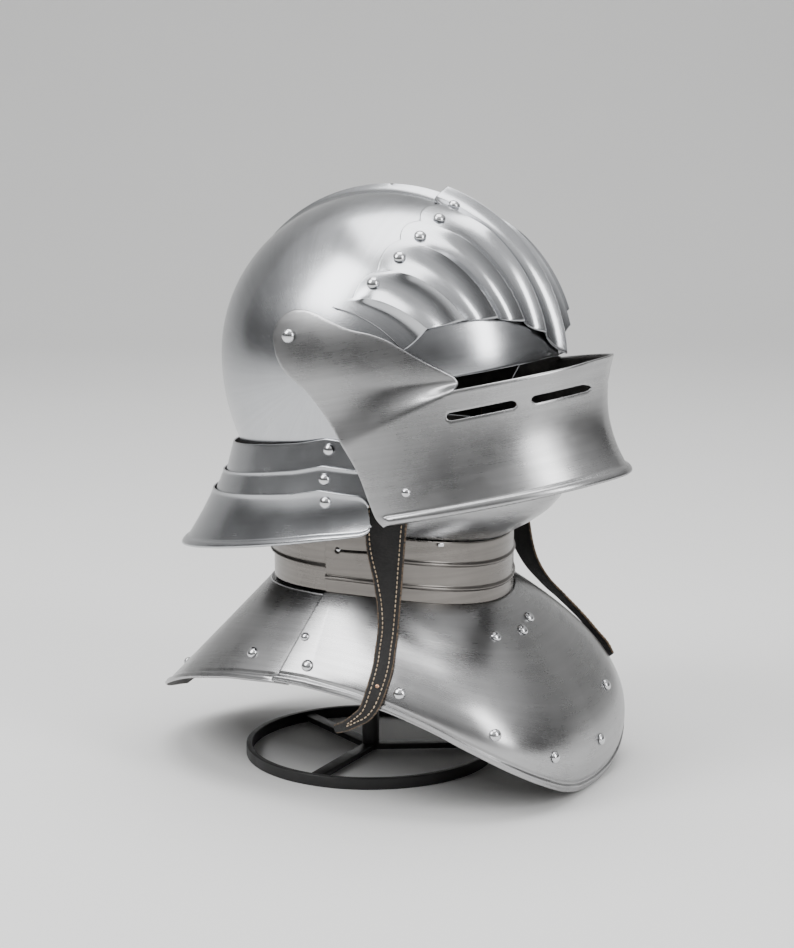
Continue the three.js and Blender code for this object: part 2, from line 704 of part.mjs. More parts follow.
function chinPoint(angle, row, inset) {
  const neck = collar.radius - wall - plateGap;
  const edge = collarTop(angle) + 0.5;
  if (row < 0) return around(neck - inset, angle, edge + row * chin.neckDrop);
  const section = chinSections[row];
  const front = lerp(neck, chin.front, section.front) - inset;
  const side = lerp(neck, chin.side * skull.halfWidth, section.side) - inset;
  const z = lerp(edge, chin.top, section.height);
  return new THREE.Vector3(side * Math.sin(angle), -front * Math.cos(angle), z);
}

function makeChinPlate() {
  const us = steps(-chin.endAngle, chin.endAngle, 16).map(rad);
  const rows = [-1, ...chinSections.keys()];
  const surface = (inset) => (a, row) => chinPoint(a, row, inset);
  add('chin_plate', sheet(surface(0), surface(wall), us, rows), steel);
  const catchAngle = rad(-41);
  const place = around(collar.radius + seat + 0.9, catchAngle, collarTop(catchAngle) - 1.1);
  const tab = new THREE.BoxGeometry(4.2, 1.8, 2.6).rotateZ(catchAngle);
  add('chin_catch', tab.translate(...place.toArray()), steel);
}

// Straps: the middle of the leather at each step from inside the cheek down to the free end. `out` runs
// from 0 inside the cheek to 1 at the reach of the gorget's shoulder, `ahead` is a share of the
// gorget's front reach, and `up` runs from 0 at the shoulder's rim to 1 at the top of the collar. Its
// face looks `turn` degrees round from the wearer's side towards the front, and `lift` degrees up.
const nearStrap = [
  { out: -0.01, ahead: 0.27, up: 1.717, width: 1, turn: 10, lift: 0 },
  { out: -0.03, ahead: 0.27, up: 1.556, width: 1, turn: 10, lift: 0 },
  { out: 0.057, ahead: 0.266, up: 1.31, width: 1, turn: 8, lift: 0 },
  { out: 0.093, ahead: 0.26, up: 0.99, width: 0.926, turn: 4, lift: 2 },
  { out: 0.12, ahead: 0.275, up: 0.722, width: 0.654, turn: 10, lift: 10 },
  { out: 0.16, ahead: 0.285, up: 0.533, width: 0.492, turn: 18, lift: 26 },
  { out: 0.324, ahead: 0.304, up: 0.377, width: 0.424, turn: 23, lift: 42 },
  { out: 0.546, ahead: 0.323, up: 0.27, width: 0.421, turn: 23, lift: 44 },
  { out: 0.787, ahead: 0.341, up: 0.151, width: 0.423, turn: 22, lift: 36 },
  { out: 1.028, ahead: 0.334, up: -0.02, width: 0.4, turn: 20, lift: 24 },
  { out: 1.1, ahead: 0.308, up: -0.123, width: 0.334, turn: 12, lift: 8 },
  { out: 1.11, ahead: 0.266, up: -0.181, width: 0.266, turn: 4, lift: 2 },
  { out: 1.075, ahead: 0.206, up: -0.245, width: 0.2, turn: -4, lift: 0 },
  { out: 1.018, ahead: 0.151, up: -0.286, width: 0.156, turn: -8, lift: 0 },
];
const farStrap = [
  { out: -0.015, ahead: 0.28, up: 1.717, width: 1, turn: 10, lift: 0 },
  { out: -0.04, ahead: 0.286, up: 1.556, width: 1, turn: 10, lift: 0 },
  { out: 0.098, ahead: 0.312, up: 1.2, width: 1, turn: 8, lift: 0 },
  { out: 0.142, ahead: 0.362, up: 0.775, width: 0.75, turn: 14, lift: 4 },
  { out: 0.19, ahead: 0.415, up: 0.52, width: 0.6, turn: 22, lift: 16 },
  { out: 0.263, ahead: 0.487, up: 0.348, width: 0.54, turn: 30, lift: 30 },
  { out: 0.343, ahead: 0.575, up: 0.21, width: 0.5, turn: 36, lift: 32 },
  { out: 0.385, ahead: 0.665, up: 0.075, width: 0.48, turn: 40, lift: 30 },
  { out: 0.375, ahead: 0.745, up: -0.05, width: 0.48, turn: 44, lift: 24 },
];

function strapSheet(rows, side) {
  const middle = (row) => {
    const root = lerp(collar.radius - strap.inset, strap.cheek * skull.halfWidth, ease(1, 1.5, row.up));
    return new THREE.Vector3(
      side * lerp(root, gorget.side, row.out),
      -row.ahead * gorget.front,
      lerp(gorget.sideRim, collar.sideTop, row.up)
    );
  };
  const path = new THREE.CatmullRomCurve3(rows.map(middle));
  const column = (t, name) => {
    const place = t * (rows.length - 1);
    const i = Math.min(Math.floor(place), rows.length - 2);
    return lerp(rows[i][name], rows[i + 1][name], place - i);
  };
  const surface = (depth) => (t, across) => {
    const [turn, lift] = [rad(column(t, 'turn')), rad(column(t, 'lift'))];
    const face = new THREE.Vector3(side * Math.cos(turn), -Math.sin(turn), Math.tan(lift)).normalize();
    const run = path.getPoint(clamp(t + 0.01, 0, 1)).sub(path.getPoint(clamp(t - 0.01, 0, 1)));
    const wide = face.clone().cross(run).normalize();
    const half = (strap.width * column(t, 'width')) / 2;
    return path.getPoint(t).addScaledVector(wide, across * half).addScaledVector(face, depth);
  };
  const along = steps(0, 1, 2 * (rows.length - 1));
  return sheet(surface(leather / 2), surface(-leather / 2), along, [-1, 0, 1]);
}

function makeStraps() {
  add('strap_near', strapSheet(nearStrap, -1), blackLeather);
  add('strap_far', strapSheet(farStrap, 1), blackLeather);
}

// A rivet is a low dome seated on a surface
function addRivet(name, surface, u, v, radius = rivet.radius, lift = seat) {
  const height = (rivet.height * radius) / rivet.radius;
  const dome = [[0, 0], [radius, 0], [radius * 0.78, height * 0.66], [0, height]];
  const out = outward(surface, u, v);
  const mesh = add(name, turned(dome, rivet.sides), steel);
  mesh.position.copy(surface(u, v)).addScaledVector(out, lift);
  mesh.quaternion.setFromUnitVectors(new THREE.Vector3(0, 1, 0), out);
}

const sides = { near: -1, far: 1 };

function makeBrowRivets() {
  for (const [name, side] of Object.entries(sides)) {
    for (let i = 1; i < browLines.length - 1; i++) {
      const u = side * (1 - (i + brow.rivetPlaces[i - 1]) / (browLines.length - 1));
      const surface = (a, b) => browPoint(a, b, browShelf);
      addRivet(`brow_rivet_${name}_${i}`, surface, u, brow.rivetRows[i - 1], rivet.radius, brow.rivetLift);
    }
  }
}

// The visor turns on a headed pin through both plates at each side
function makePivots() {
  const { headRadius, headHeight, shankRadius, innerHead } = pivot;
  const reach = visorHalfWidth(headRadius, -headRadius, 0) + seat;
  const inside = skullHalfWidth(pivot.back + headRadius, pivotHeight + headRadius, -wall) - seat;
  const profile = [
    [0, inside - innerHead],
    [headRadius, inside - innerHead],
    [headRadius, inside],
    [shankRadius, inside],
    [shankRadius, reach],
    [headRadius, reach],
    [headRadius * 0.75, reach + headHeight * 0.68],
    [0, reach + headHeight],
  ];
  for (const [name, side] of Object.entries(sides)) {
    const mesh = add(`visor_pivot_${name}`, turned(profile, 12), steel);
    mesh.position.set(0, pivot.back, pivotHeight);
    mesh.rotation.z = (-side * Math.PI) / 2;
  }
}

function makeSmallRivets() {
  for (const [name, side] of Object.entries(sides)) {
    const lamePlaces = [[92, 0.25], [91.5, 0.34], [92.5, 0.21]];
    lamePlaces.forEach(([u, v], i) => addRivet(`tail_rivet_${name}_${i + 1}`, lameSurface(i), -side * u, v));
    const stud = (u, n) => visorPoint(u, n, 0);
    addRivet(`visor_stud_${name}`, stud, side * 0.553, 0.852 * visor.bottom, rivet.small);
  }
  addRivet('tail_rivet_back', lameSurface(2), 0, 0.72, rivet.small);
}

// Rivets of the gorget, by their angles on the wearer's right (near) and left (far) and by share of
// the way from neck to rim
const gorgetRivets = [
  { name: 'tip', near: [22, 0.725], far: [2, 0.7] },
  { name: 'breast', near: [38.5, 0.71], far: [16, 0.575] },
  { name: 'side', near: [61.1, 0.71], far: [52, 0.612] },
  { name: 'shoulder', near: [91.1, 0.725], far: [91.1, 0.725] },
];

const napeRivets = { near: [198, 0.69], far: [190, 0.64] };

function makeGorgetRivets() {
  const front = (degrees, v) => gorgetPoint(degrees, v, 0);
  const rear = (degrees, v) => gorgetPoint(degrees, v, wall + plateGap);
  for (const [name, side] of Object.entries(sides)) {
    for (const row of gorgetRivets) {
      const [angle, v] = row[name];
      addRivet(`gorget_rivet_${name}_${row.name}`, front, side * angle, v);
    }
    addRivet(`shoulder_stud_${name}`, front, side * 95.5, 0.485, rivet.small);
    addRivet(`gorget_rear_rivet_${name}`, rear, side * 115.5, 0.658);
    addRivet(`gorget_nape_rivet_${name}`, rear, ...napeRivets[name], rivet.small);
    const lower = collar.radius - wall - plateGap;
    const collarWall = (angle, z) => around(lower, angle, z);
    addRivet(`collar_stud_${name}`, collarWall, rad(side * keyhole.angle), keyhole.height, rivet.tiny);
  }
  const upper = [[-25, 0.25], [-9, 0.24], [1.5, 0.2]];
  upper.forEach(([angle, v], i) => addRivet(`gorget_rivet_upper_${i + 1}`, front, angle, v));
}

// Stand: a ring of flat bar, three spokes, a post with a cap under the skull, and a yoke that
// carries the gorget at its shoulders, welded into one
function makeStand() {
  const { radius, barWidth, barHeight, setBack, postRadius, spokeWidth } = stand;
  const corners = [[radius - barWidth, 0], [radius, 0], [radius, barHeight], [radius - barWidth, barHeight]];
  const parts = [turned([...corners, corners[0]], 36).rotateX(Math.PI / 2)];
  const spokeLength = radius - barWidth / 2;
  for (const angle of [-60, 60, 180]) {
    const spoke = new THREE.BoxGeometry(spokeLength, spokeWidth, barWidth);
    parts.push(spoke.translate(spokeLength / 2, 0, barHeight / 2).rotateZ(rad(angle)));
  }
  const capTop = wall + seat + stand.rest;
  const postTop = skull.level + skull.crown - capTop - 0.6 * stand.capDepth;
  const postFoot = (barHeight - barWidth) / 2;
  const post = new THREE.CylinderGeometry(postRadius, postRadius, postTop - postFoot, 12);
  parts.push(post.rotateX(Math.PI / 2).translate(0, 0, (postTop + postFoot) / 2));
  const yokeEnd = gorgetPoint(stand.yokeAngle, 0.2, wall + plateGap + wall + seat + stand.rest);
  const yoke = new THREE.BoxGeometry(2 * yokeEnd.x, stand.yokeWidth, stand.yokeHeight);
  parts.push(yoke.translate(0, 0, yokeEnd.z - stand.yokeHeight / 2 - stand.yokeDrop));
  const frame = parts.map(toSolid).reduce((solid, part) => solid.add(part));
  const bore = new THREE.CylinderGeometry(stand.capRadius, stand.capRadius, skull.crown, 24);
  const disc = toSolid(bore.rotateX(Math.PI / 2).translate(0, setBack, skull.level + skull.crown));
  const cap = skullBody(-capTop, 0).subtract(skullBody(-capTop - stand.capDepth, 0)).intersect(disc);
  add('stand', toGeometry(frame.translate([0, setBack, 0]).add(cap)), blackPaint);
}

makeSkull();
makeBrowPlate();
makeVisor();
makeLames();
makeCollar();
makeGorget();
makeChinPlate();
makeStraps();
makeBrowRivets();
makePivots();
makeSmallRivets();
makeGorgetRivets();
makeStand();

// The origin is under the middle of the whole, on the table
const helmet = new THREE.Group();
helmet.add(assembly);
const box = new THREE.Box3().setFromObject(assembly);
assembly.position.set(-(box.min.x + box.max.x) / 2, -(box.min.y + box.max.y) / 2, -box.min.z);

export default helmet;
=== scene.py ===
import math
import bmesh
import bpy
import numpy as np
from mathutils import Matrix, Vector
from mathutils.geometry import delaunay_2d_cdt


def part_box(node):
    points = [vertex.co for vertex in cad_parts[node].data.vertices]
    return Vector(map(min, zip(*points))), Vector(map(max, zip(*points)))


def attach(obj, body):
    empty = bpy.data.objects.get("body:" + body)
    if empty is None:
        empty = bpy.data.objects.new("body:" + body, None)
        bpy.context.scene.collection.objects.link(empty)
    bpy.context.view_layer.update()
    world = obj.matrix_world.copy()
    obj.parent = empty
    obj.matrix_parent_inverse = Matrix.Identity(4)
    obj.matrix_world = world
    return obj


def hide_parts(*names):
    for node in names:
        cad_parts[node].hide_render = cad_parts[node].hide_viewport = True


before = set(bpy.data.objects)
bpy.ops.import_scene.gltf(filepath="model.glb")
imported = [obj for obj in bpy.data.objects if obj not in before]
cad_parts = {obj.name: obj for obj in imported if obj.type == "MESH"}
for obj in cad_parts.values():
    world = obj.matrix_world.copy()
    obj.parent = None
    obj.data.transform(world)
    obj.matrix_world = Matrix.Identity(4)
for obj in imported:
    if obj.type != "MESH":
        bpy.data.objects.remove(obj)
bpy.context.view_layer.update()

print("frame loaded")

# Places are worked out in millimetres about the helmet's own upright axis, with the table at 0.
# The stand's ring tells where that axis is in the frame.
standLow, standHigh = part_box("stand")
postBack = 17.5  # from the helmet's axis back to the post
fixed = "helmet_and_stand"  # the body that carries every piece that doesn't turn
axisPlace = np.array([(standLow.x + standHigh.x) / 2, (standLow.y + standHigh.y) / 2 - postBack / 1000, 0.0])


def toMetres(points):
    # Millimetres over a thousand, plus the place of the axis
    return np.asarray(points, float) / 1000 + axisPlace


cameraSettings = {
    "turn": 27.0,  # degrees from the wearer's right side towards the front
    "rise": 10.7,  # degrees above the horizon
    "distance": 1586.0,
    "lens": 87.34,
    "target": (0.0, -3.4, 201.5),
}


def makeCamera(settings):
    # The eye is the target less the way of looking times the distance
    turn, rise = math.radians(settings["turn"]), math.radians(settings["rise"])
    look = Vector((math.cos(turn) * math.cos(rise), math.sin(turn) * math.cos(rise), -math.sin(rise)))
    eye = Vector(settings["target"]) - look * settings["distance"]
    data = bpy.data.cameras.new("camera")
    data.lens = settings["lens"]
    data.sensor_width = 36
    data.clip_end = 50
    camera = bpy.data.objects.new("camera", data)
    camera.location = Vector(toMetres(eye))
    camera.rotation_mode = "QUATERNION"
    camera.rotation_quaternion = look.to_track_quat("-Z", "Y")
    bpy.context.scene.collection.objects.link(camera)
    bpy.context.scene.camera = camera


makeCamera(cameraSettings)
print("camera placed")


def ease(start, end, x):
    # Three times the square less twice the cube of the share of the way from start to end
    t = np.clip((x - start) / (end - start), 0, 1)
    return t * t * (3 - 2 * t)


def mix(a, b, t):
    # The share t of the way from a to b
    return a + (b - a) * t


def unit(vectors):
    # Each vector over its own length
    return vectors / np.maximum(np.linalg.norm(vectors, axis=-1, keepdims=True), 1e-9)


def smoothTable(xs, ys, x):
    # Cubic through the rows of a table. The slope at each row is the harmonic mean of the slopes on
    # its two sides, and level where they change sign, so the curve never swings past a row.
    xs, ys = np.asarray(xs, float), np.asarray(ys, float)
    step = np.diff(xs)
    rise = np.diff(ys) / step
    slope = np.concatenate([rise[:1], np.zeros(len(xs) - 2), rise[-1:]])
    both = rise[:-1] * rise[1:]
    total = np.where(both > 0, rise[:-1] + rise[1:], 1.0)
    slope[1:-1] = np.where(both > 0, 2 * both / total, 0.0)
    x = np.clip(x, xs[0], xs[-1])
    i = np.clip(np.searchsorted(xs, x, side="right") - 1, 0, len(xs) - 2)
    t = (x - xs[i]) / step[i]
    return (
        ys[i] * (1 + 2 * t) * (1 - t) ** 2
        + slope[i] * step[i] * t * (1 - t) ** 2
        + ys[i + 1] * t * t * (3 - 2 * t)
        - slope[i + 1] * step[i] * t * t * (1 - t)
    )


def gridNormals(grid):
    # The cross product of the steps along the two directions of the grid, turned away from the axis
    normal = unit(np.cross(np.gradient(grid, axis=0), np.gradient(grid, axis=1)))
    outwards = np.sum(normal[..., :2] * grid[..., :2])
    return normal if outwards > 0 else -normal


rimTurns = 4  # points round the half circle of a plate's edge


def rimArc(outer, inner, beyond):
    # A half circle from the outer face to the inner one: the middle, plus half the thickness times
    # the cosine, plus the way out past the edge times the sine
    middle, half = (outer + inner) / 2, (outer - inner) / 2
    size = np.linalg.norm(half, axis=-1, keepdims=True)
    face = half / size
    out = unit(beyond - face * np.sum(beyond * face, axis=-1, keepdims=True))
    angles = np.pi * np.arange(1, rimTurns + 1) / (rimTurns + 1)
    return np.stack([middle + half * np.cos(a) + size * out * np.sin(a) for a in angles])


def quadsAround(index):
    # Four-sided faces between neighbouring lines of a grid of points whose last line meets its first
    following = np.roll(index, -1, axis=0)
    quads = np.stack([index[:, :-1], following[:, :-1], following[:, 1:], index[:, 1:]], -1)
    return quads.reshape(-1, 4).tolist()


def together(parts):
    # Points and faces of several parts as one, each part's faces counted on from the last
    points, faces, base = [], [], 0
    for partPoints, partFaces in parts:
        points.append(partPoints)
        faces += [[i + base for i in face] for face in partFaces]
        base += len(partPoints)
    return np.vstack(points), faces


def shellGrid(outer, inner, wraps=False, pole=False):
    # A plate from two grids of points: the outer face, a round rim, the inner face and a round rim
    # back again make one loop, which is carried along the grid and closed at both ends.
    count, rows = outer.shape[:2]
    last = rows - 1
    far = np.moveaxis(rimArc(outer[:, -1], inner[:, -1], outer[:, -1] - outer[:, -2]), 0, 1)
    loops = [outer, far, inner[:, ::-1]]
    source = [np.arange(rows), np.full(rimTurns, last), np.arange(rows)[::-1]]
    hidden = [np.zeros(rows), np.zeros(rimTurns), np.ones(rows)]
    if not pole:
        loops.append(np.moveaxis(rimArc(outer[:, 0], inner[:, 0], outer[:, 0] - outer[:, 1]), 0, 1)[:, ::-1])
        source.append(np.zeros(rimTurns, int))
        hidden.append(np.zeros(rimTurns))
    loop = np.concatenate(loops, axis=1)
    source, hidden = np.concatenate(source), np.concatenate(hidden)
    width = loop.shape[1]
    index = np.arange(count * width).reshape(count, width)
    i = np.arange(count if wraps else count - 1)[:, None]
    j = np.arange(width - 1 if pole else width)[None, :]
    ni, nj = (i + 1) % count, (j + 1) % width
    quads = np.stack([index[i, j], index[ni, j], index[ni, nj], index[i, nj]], -1).reshape(-1, 4)
    points = [loop.reshape(-1, 3)]
    origin = [(np.arange(count)[:, None] * rows + source[None, :]).ravel()]
    inside = [np.tile(hidden, count)]
    faces = quads.tolist()
    if not wraps:
        base = count * width
        for end, step in ((0, 1), (count - 1, count - 2)):
            lines = rimArc(outer[end], inner[end], outer[end] - outer[step])
            points.append(lines.reshape(-1, 3))
            origin.append(np.tile(end * rows + np.arange(rows), rimTurns))
            inside.append(np.zeros(rimTurns * rows))
            mesh = np.arange(base, base + rimTurns * rows).reshape(rimTurns, rows)
            base += rimTurns * rows
            innerIndex = index[end, rows + rimTurns : 2 * rows + rimTurns][::-1]
            across = np.vstack([index[end, :rows], mesh, innerIndex])
            a, b = across[:-1], across[1:]
            faces += np.stack([a[:, :-1], a[:, 1:], b[:, 1:], b[:, :-1]], -1).reshape(-1, 4).tolist()
            corners = [(last, index[end, rows : rows + rimTurns])]
            if not pole:
                corners.append((0, index[end, 2 * rows + rimTurns :][::-1]))
            for row, arc in corners:
                side = across[:, row]
                ring = np.concatenate([side[:1], arc, side[-1:]])
                faces.append([side[0], ring[1], side[1]])
                faces += np.stack([side[1:-2], ring[1:-2], ring[2:-1], side[2:-1]], -1).tolist()
                faces.append([side[-2], ring[-2], side[-1]])
    return np.vstack(points), faces, np.concatenate(origin), np.concatenate(inside)


def insideLoops(points, loops):
    # A point is inside when a line from it crosses the loops an odd number of times
    crossings = np.zeros(len(points), int)
    for loop in loops:
        a, b = loop, np.roll(loop, -1, axis=0)
        above = (a[None, :, 1] > points[:, None, 1]) != (b[None, :, 1] > points[:, None, 1])
        drop = np.where(b[:, 1] == a[:, 1], 1.0, b[:, 1] - a[:, 1])
        reach = a[:, 0] + (points[:, None, 1] - a[:, 1]) / drop * (b[:, 0] - a[:, 0])
        crossings += np.sum(above & (reach > points[:, None, 0]), axis=1)
    return crossings % 2 == 1


def evenLoop(loop, spacing):
    # The same outline with points at an even spacing along it, keeping its corners
    loop = np.asarray(loop, float)
    following = np.roll(loop, -1, axis=0)
    counts = np.maximum(1, np.round(np.linalg.norm(following - loop, axis=1) / spacing)).astype(int)
    pieces = [a + (b - a) * (np.arange(n) / n)[:, None] for a, b, n in zip(loop, following, counts)]
    return np.vstack(pieces)


def shellTrimmed(outline, holes, columns, rows, surface, thickness, spacing):
    # A plate cut to an outline with holes: a lattice of places inside the outline is joined to the
    # outline by triangles, laid on the surface, and given a round rim along every edge.
    loops = [evenLoop(outline, spacing)] + [evenLoop(hole, spacing) for hole in holes]
    lattice = np.stack(np.meshgrid(columns, rows, indexing="ij"), -1).reshape(-1, 2)
    lattice = lattice[insideLoops(lattice, loops)]
    edge = np.vstack(loops)
    parts = np.array_split(lattice, 20)
    nearest = [np.min(np.linalg.norm(part[:, None] - edge[None], axis=-1), axis=1) for part in parts]
    lattice = lattice[np.concatenate(nearest) > 0.45 * spacing]
    flat = np.vstack([edge, lattice])
    starts = np.cumsum([0] + [len(loop) for loop in loops])
    edges = []
    for start, end in zip(starts[:-1], starts[1:]):
        ring = np.arange(start, end)
        edges += np.stack([ring, np.roll(ring, -1)], -1).tolist()
    made = delaunay_2d_cdt([Vector(p) for p in flat.tolist()], edges, [], 0, 1e-5)
    flat = np.array([tuple(p) for p in made[0]], float)
    triangles = np.array(made[2])
    triangles = triangles[insideLoops(flat[triangles].mean(axis=1), loops)]
    first, second, third = (flat[triangles[:, k]] for k in range(3))
    turn = np.cross(second - first, third - first)
    triangles = np.where((turn > 0)[:, None], triangles, triangles[:, ::-1])
    triangles = triangles[np.abs(turn) > 1e-7]
    used, triangles = np.unique(triangles, return_inverse=True)
    flat, triangles = flat[used], triangles.reshape(-1, 3)

    step = 0.02
    outer = surface(flat)
    along = surface(flat + [step, 0]) - surface(flat - [step, 0])
    up = surface(flat + [0, step]) - surface(flat - [0, step])
    facing = unit(np.cross(along, up))
    normal = facing if np.sum(facing[:, :2] * outer[:, :2]) > 0 else -facing
    inner = outer - normal * thickness

    directed = np.vstack([triangles[:, [0, 1]], triangles[:, [1, 2]], triangles[:, [2, 0]]])
    count = len(flat)
    keys = directed[:, 0] * count + directed[:, 1]
    rim = directed[~np.isin(directed[:, 1] * count + directed[:, 0], keys)]
    following, before = np.zeros(count, int), np.zeros(count, int)
    following[rim[:, 0]] = rim[:, 1]
    before[rim[:, 1]] = rim[:, 0]
    border = np.unique(rim)
    tangent = outer[following[border]] - outer[before[border]]
    arcs = rimArc(outer[border], inner[border], np.cross(tangent, facing[border]))
    places = np.zeros(count, int)
    places[border] = np.arange(len(border))
    layers = [rim] + [2 * count + k * len(border) + places[rim] for k in range(rimTurns)] + [rim + count]
    faces = triangles.tolist() + (triangles[:, ::-1] + count).tolist()
    for a, b in zip(layers[:-1], layers[1:]):
        faces += np.stack([a[:, 0], a[:, 1], b[:, 1], b[:, 0]], -1).tolist()
    points = np.vstack([outer, inner, arcs.reshape(-1, 3)])
    origin = np.concatenate([np.arange(count), np.arange(count), np.tile(border, rimTurns)])
    return points, faces, flat[origin], np.repeat([0.0, 1.0, 0.0], [count, count, rimTurns * len(border)])


def layOut(origin, along, up):
    # The two lengths of the brushing's own places, one pair for each point of the shell
    return np.stack(np.broadcast_arrays(along, up), -1).reshape(-1, 2)[origin]


def makePiece(
    name, points, faces, material, nodes, body=fixed, grain=None, wear=None, inside=None,
    sharp=None,
):
    # Puts the points and faces into a mesh, joins what coincides, turns the faces outwards and lets
    # the piece stand for its nodes
    mesh = bpy.data.meshes.new(name)
    mesh.from_pydata(toMetres(points).tolist(), [], faces)
    if grain is not None:
        lay = np.zeros((len(points), 3))
        lay[:, :2] = np.asarray(grain) / 1000
        mesh.attributes.new("grain", "FLOAT_VECTOR", "POINT").data.foreach_set("vector", lay.ravel())
    for label, values in (("wear", wear), ("inside", inside)):
        if values is not None:
            mesh.attributes.new(label, "FLOAT", "POINT").data.foreach_set("value", np.asarray(values, float))
    work = bmesh.new()
    work.from_mesh(mesh)
    bmesh.ops.remove_doubles(work, verts=work.verts, dist=2e-6)
    bmesh.ops.recalc_face_normals(work, faces=work.faces)
    work.to_mesh(mesh)
    work.free()
    mesh.polygons.foreach_set("use_smooth", np.ones(len(mesh.polygons), bool))
    if sharp:
        mesh.set_sharp_from_angle(angle=math.radians(sharp))
    mesh.materials.append(material)
    piece = bpy.data.objects.new(name, mesh)
    bpy.context.scene.collection.objects.link(piece)
    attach(piece, body)
    if nodes:
        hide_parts(*nodes)
    return piece


def addNode(tree, kind, **inputs):
    # A shader node with its settings and input values
    node = tree.nodes.new(kind)
    for name, value in inputs.items():
        if hasattr(node, name) and name not in node.inputs:
            setattr(node, name, value)
        else:
            node.inputs[name.replace("_", " ")].default_value = value
    return node


def ramp(tree, source, stops):
    # A colour or a grey that runs from stop to stop along the source
    node = tree.nodes.new("ShaderNodeValToRGB")
    elements = node.color_ramp.elements
    while len(elements) < len(stops):
        elements.new(0.5)
    for element, (place, value) in zip(elements, stops):
        element.position = place
        element.color = (*value, 1) if isinstance(value, tuple) else (value, value, value, 1)
    tree.links.new(source, node.inputs["Fac"])
    return node.outputs["Color"]


def noise(tree, place, scale, detail, stretch=(1, 1, 1), rough=0.55):
    # Noise read at the place times the stretch
    mapping = addNode(tree, "ShaderNodeMapping")
    mapping.inputs["Scale"].default_value = stretch
    tree.links.new(place, mapping.inputs["Vector"])
    node = addNode(tree, "ShaderNodeTexNoise", Scale=scale, Detail=detail, Roughness=rough)
    tree.links.new(mapping.outputs["Vector"], node.inputs["Vector"])
    return node.outputs["Fac"]


def blendColours(tree, kind, amount, a, b):
    # Colour a blended with b by the amount; each of the three is a socket or a constant
    node = tree.nodes.new("ShaderNodeMix")
    node.data_type = "RGBA"
    node.blend_type = kind
    for socket, value in ((node.inputs[0], amount), (node.inputs[6], a), (node.inputs[7], b)):
        if isinstance(value, bpy.types.NodeSocket):
            tree.links.new(value, socket)
        else:
            socket.default_value = value
    return node.outputs[2]


def startMaterial(name):
    # A new material with its node tree, its shader and places in the object's own coordinates
    material = bpy.data.materials.new(name)
    material.use_nodes = True
    tree = material.node_tree
    place = addNode(tree, "ShaderNodeTexCoord").outputs["Object"]
    return material, tree, tree.nodes["Principled BSDF"], place


def addBump(tree, shader, height, strength, distance):
    # A height turned into a tilt of the surface
    bump = addNode(tree, "ShaderNodeBump", Strength=strength, Distance=distance)
    tree.links.new(height, bump.inputs["Height"])
    tree.links.new(bump.outputs["Normal"], shader.inputs["Normal"])


steelFinish = {
    # colour, least and most roughness, then the strength of the streaks, the smears and the fine lines
    "bright": ((0.53, 0.54, 0.56), (0.2, 0.29), 0.06, 0.14, 0.08),
    "brushed": ((0.45, 0.45, 0.455), (0.24, 0.33), 0.09, 0.16, 0.12),
    "collar": ((0.235, 0.22, 0.205), (0.24, 0.36), 0.16, 0.22, 0.16),
    "rivet": ((0.68, 0.685, 0.70), (0.14, 0.24), 0.0, 0.08, 0.0),
    "copper": ((0.72, 0.42, 0.26), (0.25, 0.4), 0.0, 0.2, 0.0),
}


def makeSteel(name, finish):
    # Plate steel: faint brushing along the piece's own grain, cloudy patches from polishing, a few
    # longer scratches, and a roughness that follows all three. The inner face is painted near black,
    # a painted shade standing in for the shadow inside the helmet
    material, tree, shader, place = startMaterial(name)
    links = tree.links
    grain = addNode(tree, "ShaderNodeAttribute", attribute_name="grain").outputs["Vector"]
    cloud = noise(tree, place, 26, 4)
    fineCloud = noise(tree, place, 140, 3)
    lines = noise(tree, grain, 1, 3, (35, 1600, 1), 0.6)
    longLines = noise(tree, grain, 1, 2, (6, 260, 1), 0.5)
    scratch = noise(tree, grain, 1, 1, (14, 420, 1), 0.3)
    (r, g, b), (low, high), streaks, smear, fineLines = finish
    patch = ramp(tree, cloud, [(0.3, 1 - smear), (0.7, 1.0)])
    tone = blendColours(tree, "MULTIPLY", 1.0, (r, g, b, 1), patch)
    streak = ramp(tree, longLines, [(0.35, 1 - streaks), (0.65, 1.0)])
    tone = blendColours(tree, "MULTIPLY", 1.0, tone, streak)
    inner = addNode(tree, "ShaderNodeAttribute", attribute_name="inside").outputs["Fac"]
    # Painted shade: the inner face's colour is near black, standing in for the shadow inside the plates
    paintedShadeInside = ramp(tree, fineCloud, [(0.35, (0.045, 0.043, 0.042)), (0.7, (0.075, 0.07, 0.066))])
    links.new(blendColours(tree, "MIX", inner, tone, paintedShadeInside), shader.inputs["Base Color"])
    shader.inputs["Metallic"].default_value = 1.0
    base = ramp(tree, cloud, [(0.25, low), (0.75, high)])
    fine = ramp(tree, lines, [(0.3, 0.35), (0.7, 0.65)])
    both = blendColours(tree, "OVERLAY", 2 * fineLines, base, fine)
    links.new(blendColours(tree, "MIX", inner, both, (0.6, 0.6, 0.6, 1)), shader.inputs["Roughness"])
    height = blendColours(tree, "MIX", 0.4, lines, longLines)
    height = blendColours(tree, "MIX", 0.2, height, ramp(tree, scratch, [(0.62, 0.5), (0.66, 0.0)]))
    height = blendColours(tree, "MIX", 0.25, height, fineCloud)
    addBump(tree, shader, height, max(0.02, fineLines * 0.4), 0.0002)
    return material


steelBright = makeSteel("steelBright", steelFinish["bright"])
steelBrushed = makeSteel("steelBrushed", steelFinish["brushed"])
steelCollar = makeSteel("steelCollar", steelFinish["collar"])
steelRivet = makeSteel("steelRivet", steelFinish["rivet"])

leatherFinish = {
    "black": (0.008, 0.0075, 0.0075),
    "grey": (0.015, 0.014, 0.0135),
    "tan": (0.20, 0.135, 0.085),
    "creaseScale": 420,
    "poreScale": 1500,
}


